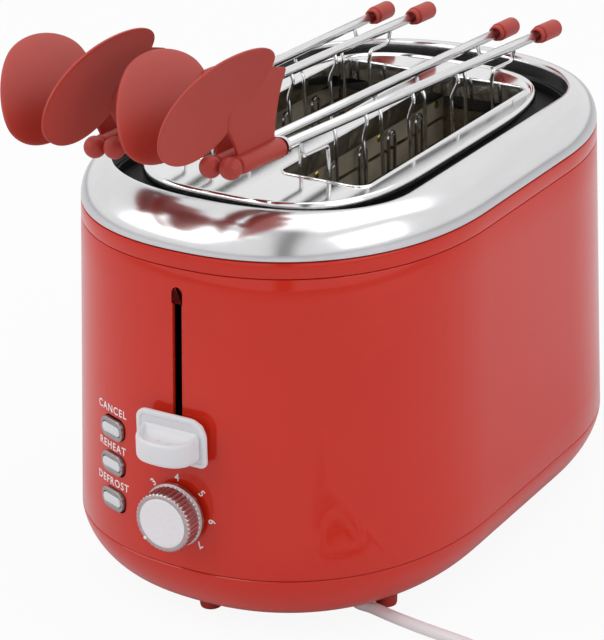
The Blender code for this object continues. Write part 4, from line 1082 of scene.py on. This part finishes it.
# %% [markdown]
# ## Printed words and numbers
#
# The words above the buttons and the numbers round the knob are plain function words in white print. Each is
# a text made into a mesh, laid on the wall and pressed to it, so that it follows the curve. Print is flat, so
# it stands out by only a tenth of a millimetre.


# %% Print on the wall
PRINT_BOLDNESS, PRINT_RISE = 0.09, 0.08


def printed(text, name, size, middle_x, middle_z, turn, spacing=1.0):
    """A line of text as a mesh on the front wall, centred on a spot and turned by an angle."""
    curve = bpy.data.curves.new("scratch", "FONT")
    curve.body = text
    curve.size = size
    curve.space_character = spacing
    curve.offset = PRINT_BOLDNESS
    curve.align_x = "CENTER"
    curve.align_y = "CENTER"
    curve.resolution_u = 4
    bm = curve_bmesh(curve)
    bmesh.ops.remove_doubles(bm, verts=bm.verts[:], dist=0.002)
    long_edges = [e for e in bm.edges if e.calc_length() > 0.5]
    bmesh.ops.subdivide_edges(bm, edges=long_edges, cuts=1, use_grid_fill=False)
    slope = front_wall(middle_x + 1, middle_z) - front_wall(middle_x - 1, middle_z)
    turn_in = math.cos(math.atan2(slope, 2.0))
    bm.transform(Matrix.Rotation(turn, 4, "Z"))
    for vert in bm.verts:
        x, z = middle_x + vert.co.x * turn_in, middle_z + vert.co.y
        vert.co = (x, front_wall(x, z) - PRINT_RISE, z)
    bmesh.ops.recalc_face_normals(bm, faces=bm.faces[:])
    return finish_mesh(bm, name, "housing", LABEL_WHITE, angle=60)


WORD_RISE = {"cancel": 7.9, "reheat": 7.5, "defrost": 7.7}
WORD_SIZE, WORD_SPACING, DIGIT_SIZE = 4.9, 1.18, 4.6
THREE_TURN, DIGIT_STEP, DIGIT_REACH, THREE_REACH = 139, 47.2, 16.2, 16.9
for name, z in BUTTON_HEIGHTS.items():
    printed(name.upper(), "print_" + name, WORD_SIZE, BUTTON_X - 1.6, z + WORD_RISE[name], 0.0, WORD_SPACING)
for number in range(1, 8):
    turn = math.radians(THREE_TURN - DIGIT_STEP * (number - 3))
    reach = THREE_REACH if number == 3 else DIGIT_REACH
    spot_x, spot_z = reach * math.cos(turn), KNOB_Z - 0.5 + reach * math.sin(turn)
    printed(str(number), f"print_number_{number}", DIGIT_SIZE, spot_x, spot_z, turn - math.pi / 2)
print("print in place")

# %% [markdown]
# ## Sandwich tongs
#
# Each tong is a pair of wire cages that hold a sandwich between them. Every half has a rod, a bent wire loop
# with bars welded to it, a red moulding with a barrel and a finger paddle at the front, and a red cap at the
# rear. The left half is the right one mirrored, with its handle turned and its cage leaning a little further.

# %% Measures of the tongs
TONG_PLACES = {
    "left": ((-39.15, -7.7, 204.3), (0.21, -1.99, -7.11)),
    "right": ((20.77, -4.0, 203.6), (-2.5, -1.89, -5.99)),
}
ROD_RADIUS, WIRE_RADIUS, BAR_RADIUS, BARREL_RADIUS = 2.25, 0.95, 0.88, 4.4
ROD_FRONT, ROD_REAR = Vector((5.02, -125.0, 0)), Vector((11.2, 122.5, 0))
ROD_AXIS = (ROD_REAR - ROD_FRONT).normalized()
BARREL_REAR = -91.4
BARREL_LENGTH = (BARREL_REAR - ROD_FRONT.y) / ROD_AXIS.y
CAGE_ROWS, CAGE_ENDS = (-57.0, -29.0, 8.5, 46.0, 83.0), (-76.0, 100.0)
CAGE_RUN, CAGE_DEPTH, CAGE_X = -8.0, 148.6, 7.0
CAGE_LEAN = {"left": 3.0, "right": -1.5}
HANDLE_TURN = {"left": 8.25, "right": 0.0}


def tong_place(name):
    """Where a tong stands: its middle, turned by its yaw, pitch and roll."""
    place, turn = TONG_PLACES[name]
    yaw, pitch, roll = (math.radians(angle) for angle in turn)
    spin = Matrix.Rotation(yaw, 4, "Z") @ Matrix.Rotation(pitch, 4, "X") @ Matrix.Rotation(roll, 4, "Y")
    return Matrix.Translation(place) @ spin


def rod_x(y):
    """X of the rod's middle line at a Y."""
    return ROD_FRONT.x + (ROD_REAR.x - ROD_FRONT.x) * (y - ROD_FRONT.y) / (ROD_REAR.y - ROD_FRONT.y)


print("barrel length", round(BARREL_LENGTH, 1))


# %% Handle with its paddle
def paddle_leaf():
    """An oval leaf, dished on its outer side and a little twisted, from a sphere."""
    middle = Vector((13.2, -139.4, 29.65))
    tilt, swing, spin = (math.radians(angle) for angle in (21.3, 1.55, 18.4))
    half_long, half_high, power, thick, dish, twist, drop = 36.3, 20.4, 1.85, 2.4, 3.0, 3.9, 4.6
    normal = Vector((math.cos(tilt) * math.cos(swing), -math.cos(tilt) * math.sin(swing), -math.sin(tilt)))
    along = Vector((math.sin(swing), math.cos(swing), 0))
    upward = normal.cross(along)
    long_axis = along * math.cos(spin) + upward * math.sin(spin)
    high_axis = upward * math.cos(spin) - along * math.sin(spin)
    bm = bmesh.new()
    bmesh.ops.create_uvsphere(bm, u_segments=96, v_segments=40, radius=1.0)
    for vert in bm.verts:
        part = min(math.hypot(vert.co.x, vert.co.y), 1.0)
        c, s = round_the_way(math.atan2(vert.co.y, vert.co.x) / math.tau)
        a, b = part * eased_corner(c, 2 / power), part * eased_corner(s, 2 / power)
        lift = dish * (a * a + b * b) + twist * a * b - drop + eased_corner(vert.co.z, 0.4) * thick / 2
        vert.co = middle + long_axis * half_long * a + high_axis * half_high * b + normal * lift
    return bm


NECK_LEVELS = (
    (0.0, -119.0, -91.9),
    (5.0, -120.0, -93.0),
    (9.0, -121.5, -92.6),
    (13.0, -124.0, -92.0),
    (17.0, -126.5, -91.4),
    (22.0, -126.0, -90.6),
    (28.0, -121.0, -89.6),
    (33.0, -114.0, -88.8),
    (35.0, -109.5, -94.0),
    (36.5, -107.0, -100.0),
)


def neck():
    """The thin web between the barrel and the paddle, curved outwards with its height."""

    def on_web(share, section):
        z, front, rear = section
        c, s = round_the_way(share)
        x = rod_x(-100) - 1.1 + 0.0052 * z * z + eased_corner(c, 0.25)
        return x, (front + rear) / 2 + eased_corner(s, 0.25) * (rear - front) / 2, z

    return swept_rings(smooth_line(NECK_LEVELS, 4), on_web, False, 48)


def handle():
    """Barrel, ball, neck and paddle in one moulding."""
    ball = []
    for i in range(13):
        angle = math.pi * (0.02 + 0.80 * i / 12)
        ball.append((-0.3 - 4.75 * math.cos(angle), 4.75 * math.sin(angle)))
    ball = [(-5.05, 0)] + ball + [(4.4, 3.75), (5.4, BARREL_RADIUS - 0.35), (8, BARREL_RADIUS - 0.2)]
    end = [(BARREL_LENGTH - 0.7, BARREL_RADIUS), (BARREL_LENGTH - 0.2, 4.2), (BARREL_LENGTH, 3.8)]
    end += [(BARREL_LENGTH, 2.7), (BARREL_LENGTH - 2, 2.6), (BARREL_LENGTH - 2, 0)]
    barrel = lathe(ball + end, ROD_FRONT, ROD_AXIS, 48)
    return join_into(barrel, neck(), paddle_leaf())


handles = {}
for side, turn in HANDLE_TURN.items():
    turned_handle = handle()
    spin = Matrix.Rotation(math.radians(turn), 4, ROD_AXIS)
    turned_handle.transform(Matrix.Translation(ROD_FRONT) @ spin @ Matrix.Translation(-ROD_FRONT))
    handles[side] = turned_handle
print("handle faces", [len(made.faces) for made in handles.values()])


# %% Cage, rod and cap
def cage(lean):
    """A rod and the guard wire that goes down and up through the slot, its tops lapped over the rod."""
    rod_profile = [(16, 0), (16, 2.1), (16.2, ROD_RADIUS), (255.6, ROD_RADIUS), (256, 2.0), (256, 0)]
    rod = lathe(rod_profile, ROD_FRONT, ROD_AXIS, 32)

    def spot(y, z):
        below = min(max(-z / 12.0, 0.0), 1.0)
        x = rod_x(y) + (CAGE_X - rod_x(y)) * below
        return (x + math.sin(math.radians(lean)) * -z * below, y, z)

    front, rear = CAGE_ROWS[0], CAGE_ROWS[-1]
    loop = [spot(CAGE_ENDS[0], 1.0), spot(CAGE_ENDS[0], CAGE_RUN), spot(front, CAGE_RUN), spot(front, -12.0)]
    loop += [spot(front, -CAGE_DEPTH), spot(rear, -CAGE_DEPTH), spot(rear, -12.0), spot(rear, CAGE_RUN)]
    loop += [spot(CAGE_ENDS[1], CAGE_RUN), spot(CAGE_ENDS[1], 1.0)]
    wires = [wire_bmesh(rounded_run(loop, 3.0), WIRE_RADIUS, 3)]
    for y in CAGE_ROWS[1:-1]:
        low_end = spot(y, -CAGE_DEPTH)
        x = rod_x(y)
        hook = [low_end, spot(y, -12.0), (x + 1.9, y, -4.5), (x + 1.3, y, -1.4), (x + 0.6, y, 1.3)]
        wires.append(wire_bmesh(rounded_run(hook, 2.0), BAR_RADIUS, 3))
    return join_into(rod, *wires)


def end_cap():
    """The red sleeve on the rod's rear end, with a groove near its front and a hollow at its back."""
    profile = [(0.8, 0), (0.8, 2.6), (0.0, 2.7), (0, 3.2), (0.3, 3.6), (0.7, 3.75), (1.7, 3.75), (1.9, 3.5)]
    profile += [(2.1, 3.35), (2.7, 3.35), (2.9, 3.6), (3.0, 4.0), (3.4, 4.3), (16.8, 4.3), (17.4, 4.15)]
    profile += [(17.7, 3.8), (17.8, 3.4), (17.8, 2.6), (17.6, 2.4), (15.0, 2.3), (15.0, 0)]
    return lathe(profile, ROD_FRONT + ROD_AXIS * 244.3, ROD_AXIS, 40)


for side in ("left", "right"):
    kinds = {
        "handle": (handles[side], RED_GRIP, "red_handle", 40),
        "cage": (cage(CAGE_LEAN[side]), BRIGHT_WIRE, "bright_wire", 40),
        "cap": (end_cap(), RED_GRIP, "red_handle", 35),
    }
    for kind, (shape, look, slot, angle) in kinds.items():
        if side == "left":
            shape.transform(Matrix.Diagonal((-1.0, 1.0, 1.0, 1.0)))
        for name in TONG_PLACES:
            node, body = f"{name}_tong_{kind}_{side}", f"{name}_tong_{side}_half"
            finish_mesh(placed(shape.copy(), tong_place(name)), node, body, look, [node], angle)
for name in TONG_PLACES:
    x = rod_x(BARREL_REAR + 2.2)
    clip = block((-x - 4.1, BARREL_REAR + 1.3, -4.1), (x + 4.1, BARREL_REAR + 3.1, 4.1), upright=(1, 4.0))
    clip, node = placed(clip, tong_place(name)), name + "_tong_yoke"
    finish_mesh(clip, node, name + "_tong_clip", BRIGHT_WIRE, [node], 35)
print("tongs", len(TONG_PLACES))

# %% [markdown]
# ## Inside the slots
#
# What shows through a slot is a bread guard of bright wire at each side, the mica heater boards wound with
# flat ribbon and held by brass rivets, and the rack at the bottom. They are simple shapes, but without them
# the slots would look empty.

# %% Bread guards
GUARDS = (("left_outer", -53.0), ("left_inner", -3.2), ("right_inner", 3.2), ("right_outer", 53.0))
HAIRPINS, HAIRPIN_FIRST, HAIRPIN_STEP, HAIRPIN_HALF = 6, -72, 26.6, 3
GUARD_LOW, GUARD_HIGH = 43.0, 169.0
for name, x in GUARDS:
    points = []
    for i in range(HAIRPINS):
        middle = HAIRPIN_FIRST + i * HAIRPIN_STEP
        points += [(x, middle - HAIRPIN_HALF, GUARD_LOW), (x, middle - HAIRPIN_HALF, GUARD_HIGH)]
        for s, c in ((-0.7, 0.7), (0, 1), (0.7, 0.7)):
            points.append((x, middle + HAIRPIN_HALF * s, GUARD_HIGH + HAIRPIN_HALF * c))
        points += [(x, middle + HAIRPIN_HALF, GUARD_HIGH), (x, middle + HAIRPIN_HALF, GUARD_LOW)]
    guard, node = wire_bmesh(rounded_run(points, 2.0, 3), 1.0, 2), "bread_guard_" + name
    finish_mesh(guard, "bread_guard_wire_" + name, "housing", BRIGHT_WIRE, [node], 40)

# %% Heater boards
BOARD_FRONT, BOARD_REAR, BOARD_LOW, BOARD_HIGH = -77.5, 90.5, 44, 173
RIBBONS, RIBBON_FIRST, RIBBON_STEP, RIBBON_WIDTH, RIBBON_OUT = 10, 58, 11.5, 1.6, 0.62
RIVET_ROWS, RIVET_Z = (-85.0, -28.9, 27.4, 83.0), 170.3
RIVET_PROFILE = [(0.4, 0), (0.4, 1.9), (0.9, 1.85), (1.3, 1.3), (1.45, 0)]
for name, x in (("left", -57.5), ("centre", 0.0), ("right", 57.5)):
    board = block((x - 0.5, BOARD_FRONT, BOARD_LOW), (x + 0.5, BOARD_REAR, BOARD_HIGH), 0.1, 1)
    node = "heater_board_" + name
    finish_mesh(board, "mica_board_" + name, "housing", MICA, [node], 35)
    ribbons = []
    for i in range(RIBBONS):
        z = RIBBON_FIRST + i * RIBBON_STEP
        for middle in (x - RIBBON_OUT, x + RIBBON_OUT):
            low, high = (middle - 0.1, BOARD_FRONT + 1, z), (middle + 0.1, BOARD_REAR - 1, z + RIBBON_WIDTH)
            ribbons.append(block(low, high))
    finish_mesh(join_into(*ribbons), "heater_ribbon_" + name, "housing", HEATED_STEEL, angle=35)
rivets = [lathe(RIVET_PROFILE, (0, y, RIVET_Z), (way, 0, 0), 20) for y in RIVET_ROWS for way in (-1, 1)]
finish_mesh(join_into(*rivets), "board_rivets", "housing", BRASS)

# %% Bread racks
WINDOWS, WINDOW_FIRST, WINDOW_STEP, WINDOW_LENGTH = 8, -68, 19.4, 12
for name, x in (("left", -28.0), ("right", 28.0)):
    rack = block((x - 15.5, -76.5, 48.5), (x + 15.5, 87.5, 50.0), 0.3, 2)
    windows = []
    for i in range(WINDOWS):
        start = WINDOW_FIRST + i * WINDOW_STEP
        for low, high in ((x - 12.5, x - 2.6), (x + 2.6, x + 12.5)):
            window = ((low, start, 46), (high, start + WINDOW_LENGTH, 54))
            windows.append(block(*window, upright=(2, 1.5), upright_segments=4))
    rack = boolean(rack, "DIFFERENCE", *windows)
    for start, end in ((-85.7, -70), (80, 96)):
        rack = join_into(rack, block((x - 1.6, start, 44.0), (x + 1.6, end, 49.4), 0.3, 2))
    finish_mesh(rack, "rack_" + name, "carriage", HEATED_STEEL, ["bread_rack_" + name], 35)
print("racks and boards in place")

# %% [markdown]
# ## Crumb tray
#
# The tray is a shallow pan of pressed steel that slides in from the back. Its rear edge follows the housing's
# curve, and a lip with rounded edges gives the fingers a hold.

# %% Crumb tray
def rear_line(half, inset):
    """The housing's rear wall seen from above, from one side to the other."""
    across = [-half + 2 * half * i / 24 for i in range(25)]
    return [(x, -front_wall(x, 36.0) - inset) for x in across]


def pan_block(outline, low, high):
    """A flat outline raised to a block."""
    bm = bmesh.new()
    face = bm.faces.new([bm.verts.new((x, y, low)) for x, y in outline])
    made = bmesh.ops.extrude_face_region(bm, geom=[face])["geom"]
    raised = [part for part in made if isinstance(part, bmesh.types.BMVert)]
    bmesh.ops.translate(bm, vec=(0, 0, high - low), verts=raised)
    bmesh.ops.recalc_face_normals(bm, faces=bm.faces[:])
    return bm


pan = pan_block([(-48, -70)] + rear_line(48, 0.1) + [(48, -70)], 32.4, 39.8)
hollow = pan_block([(-46.8, -68.8)] + rear_line(46.8, 6.0) + [(46.8, -68.8)], 33.6, 42.0)
handle_lip = block((-17, 140, 33.0), (17, 156, 35.2), 0.5, 2, upright=(2, 4.0))
pan = boolean(boolean(pan, "UNION", handle_lip), "DIFFERENCE", hollow)
rounded(pan, sharp_edges(pan, 1.2), 0.25, 2)
finish_mesh(pan, "crumb_pan", "tray", PRESSED_STEEL, ["crumb_tray"], 35)
print("tray made")

# %% [markdown]
# ## Finishes of the works
#
# The carriage, the spring, the shelves and the boards stay as the CAD model has them. They only need a real
# surface, because they show through the slots and when the tray or a tong is out.

# %% Materials of the CAD pieces that stay
CARRIED_OVER = {
    PRESSED_STEEL: ("carriage", "latch_plate", "knob_shaft"),
    CHROME: ("guide_rod",),
    BRIGHT_WIRE: ("lift_spring",),
    HEATED_STEEL: ("front_bulkhead", "rear_bulkhead", "reflector_left", "reflector_right"),
    COPPER_WIRE: ("electromagnet",),
    BOARD_GREEN: ("control_board", "browning_pot"),
}
for look, names in CARRIED_OVER.items():
    for name in names:
        nodes[name].data.materials.clear()
        nodes[name].data.materials.append(look)
print("carried over", sum(len(names) for names in CARRIED_OVER.values()))

# %% [markdown]
# ## Studio
#
# The toaster stands on a pale floor in front of plain white. Three soft lamps light it at a plain level: a
# large one from the front left, a smaller one from the right and a large one from above and behind. The world
# is white to the camera and to reflections, with a darker strip that gives the chrome its grey streak.


# %% Floor
FLOOR_HALF, FLOOR_WHITE = 6.0, 0.92


def white_to_camera(tree, shader, share, out):
    """Shows the camera partly plain white in place of a shader, so that the ground keeps a faint shadow."""
    glow = tree.nodes.new("ShaderNodeEmission")
    glow.inputs["Color"].default_value = (1, 1, 1, 1)
    glow.inputs["Strength"].default_value = 1.0
    path = tree.nodes.new("ShaderNodeLightPath")
    blend(tree, maths(tree, "MULTIPLY", path.outputs["Is Camera Ray"], share), shader, glow, out)


def blend(tree, share, first, second, out):
    """Sends a mix of two shaders to the output."""
    mix = tree.nodes.new("ShaderNodeMixShader")
    tree.links.new(share, mix.inputs["Fac"])
    tree.links.new(first.outputs[0], mix.inputs[1])
    tree.links.new(second.outputs[0], mix.inputs[2])
    tree.links.new(mix.outputs[0], out.inputs["Surface"])


floor_bm = bmesh.new()
bmesh.ops.create_grid(floor_bm, x_segments=1, y_segments=1, size=FLOOR_HALF)
floor_mesh = bpy.data.meshes.new("floor")
floor_bm.to_mesh(floor_mesh)
floor_bm.free()
floor = bpy.data.objects.new("floor", floor_mesh)
scene.collection.objects.link(floor)
floor_look, tree, shader = new_material("Pale floor", Roughness=0.8, Specular_IOR_Level=0.2)
tone = placed_group(tree, MOULDED_GRAIN, Grain=60.0, Cloud=1.5).outputs["Tone"]
tree.links.new(two_tones(tree, tone, (0.82, 0.82, 0.82), (0.84, 0.84, 0.84)), shader.inputs["Base Color"])
white_to_camera(tree, shader, FLOOR_WHITE, tree.nodes["Material Output"])
floor_mesh.materials.append(floor_look)
print("floor made")

# %% World
GAP_TURN, GAP_DARKENING = math.radians(26), -0.8
ROOM_COLOUR, ROOM_STRENGTH = (0.95, 0.95, 1.0, 1), 0.5


def side_of(tree, vector, direction):
    """How far a direction points along another one."""
    made = tree.nodes.new("ShaderNodeVectorMath")
    made.operation = "DOT_PRODUCT"
    made.inputs[1].default_value = direction
    tree.links.new(vector, made.inputs[0])
    return made.outputs["Value"]


def eased(tree, value, start, end):
    """A smooth step from 0 at the start to 1 at the end."""
    made = tree.nodes.new("ShaderNodeMapRange")
    made.interpolation_type = "SMOOTHSTEP"
    made.inputs["From Min"].default_value = start
    made.inputs["From Max"].default_value = end
    tree.links.new(value, made.inputs["Value"])
    return made.outputs["Result"]


world = bpy.data.worlds.new("Studio")
scene.world = world
world.use_nodes = True
sky = world.node_tree
sky.nodes.clear()
out = sky.nodes.new("ShaderNodeOutputWorld")
room, white = sky.nodes.new("ShaderNodeBackground"), sky.nodes.new("ShaderNodeBackground")
room.inputs["Color"].default_value = ROOM_COLOUR
room.inputs["Strength"].default_value = ROOM_STRENGTH
white.inputs["Color"].default_value = (1, 1, 1, 1)
ray = sky.nodes.new("ShaderNodeLightPath").outputs
toward = sky.nodes.new("ShaderNodeTexCoord").outputs["Generated"]
across_gap = side_of(sky, toward, (math.cos(GAP_TURN), math.sin(GAP_TURN), 0.0))
ahead = side_of(sky, toward, (math.sin(GAP_TURN), -math.cos(GAP_TURN), 0.0))
strip_share = eased(sky, maths(sky, "ABSOLUTE", across_gap), 0.16, 0.03)
gap = maths(sky, "MULTIPLY", strip_share, eased(sky, ahead, -0.1, 0.15))
lit = maths(sky, "MULTIPLY_ADD", gap, GAP_DARKENING, 1.0)
sky.links.new(maths(sky, "MAXIMUM", lit, ray["Is Camera Ray"]), white.inputs["Strength"])
seen = maths(sky, "ADD", ray["Is Camera Ray"], ray["Is Glossy Ray"])
seen = maths(sky, "ADD", seen, ray["Is Transmission Ray"])
blend(sky, maths(sky, "MINIMUM", seen, 1.0), room, white, out)
print("world", world.name)


# %% Lamps and view
def lamp(name, spot, size, power):
    """A square soft lamp that looks at the middle of the toaster."""
    data = bpy.data.lights.new(name, "AREA")
    data.shape = "RECTANGLE"
    data.size = data.size_y = size
    data.energy = power
    made = bpy.data.objects.new(name, data)
    scene.collection.objects.link(made)
    made.location = spot
    made.rotation_euler = (LAMP_AIM - Vector(spot)).to_track_quat("-Z", "Y").to_euler()


LAMP_AIM = Vector((0, 0, 0.1))
lamp("key softbox", (-1.1, -1.1, 1.5), 1.7, 16.0)
lamp("side softbox", (1.5, -0.3, 0.9), 1.2, 6.0)
lamp("top softbox", (0.1, 0.5, 1.8), 1.9, 10.5)
scene.view_settings.view_transform = "Standard"
scene.view_settings.look = "None"
print("lamps", len(bpy.data.lights))
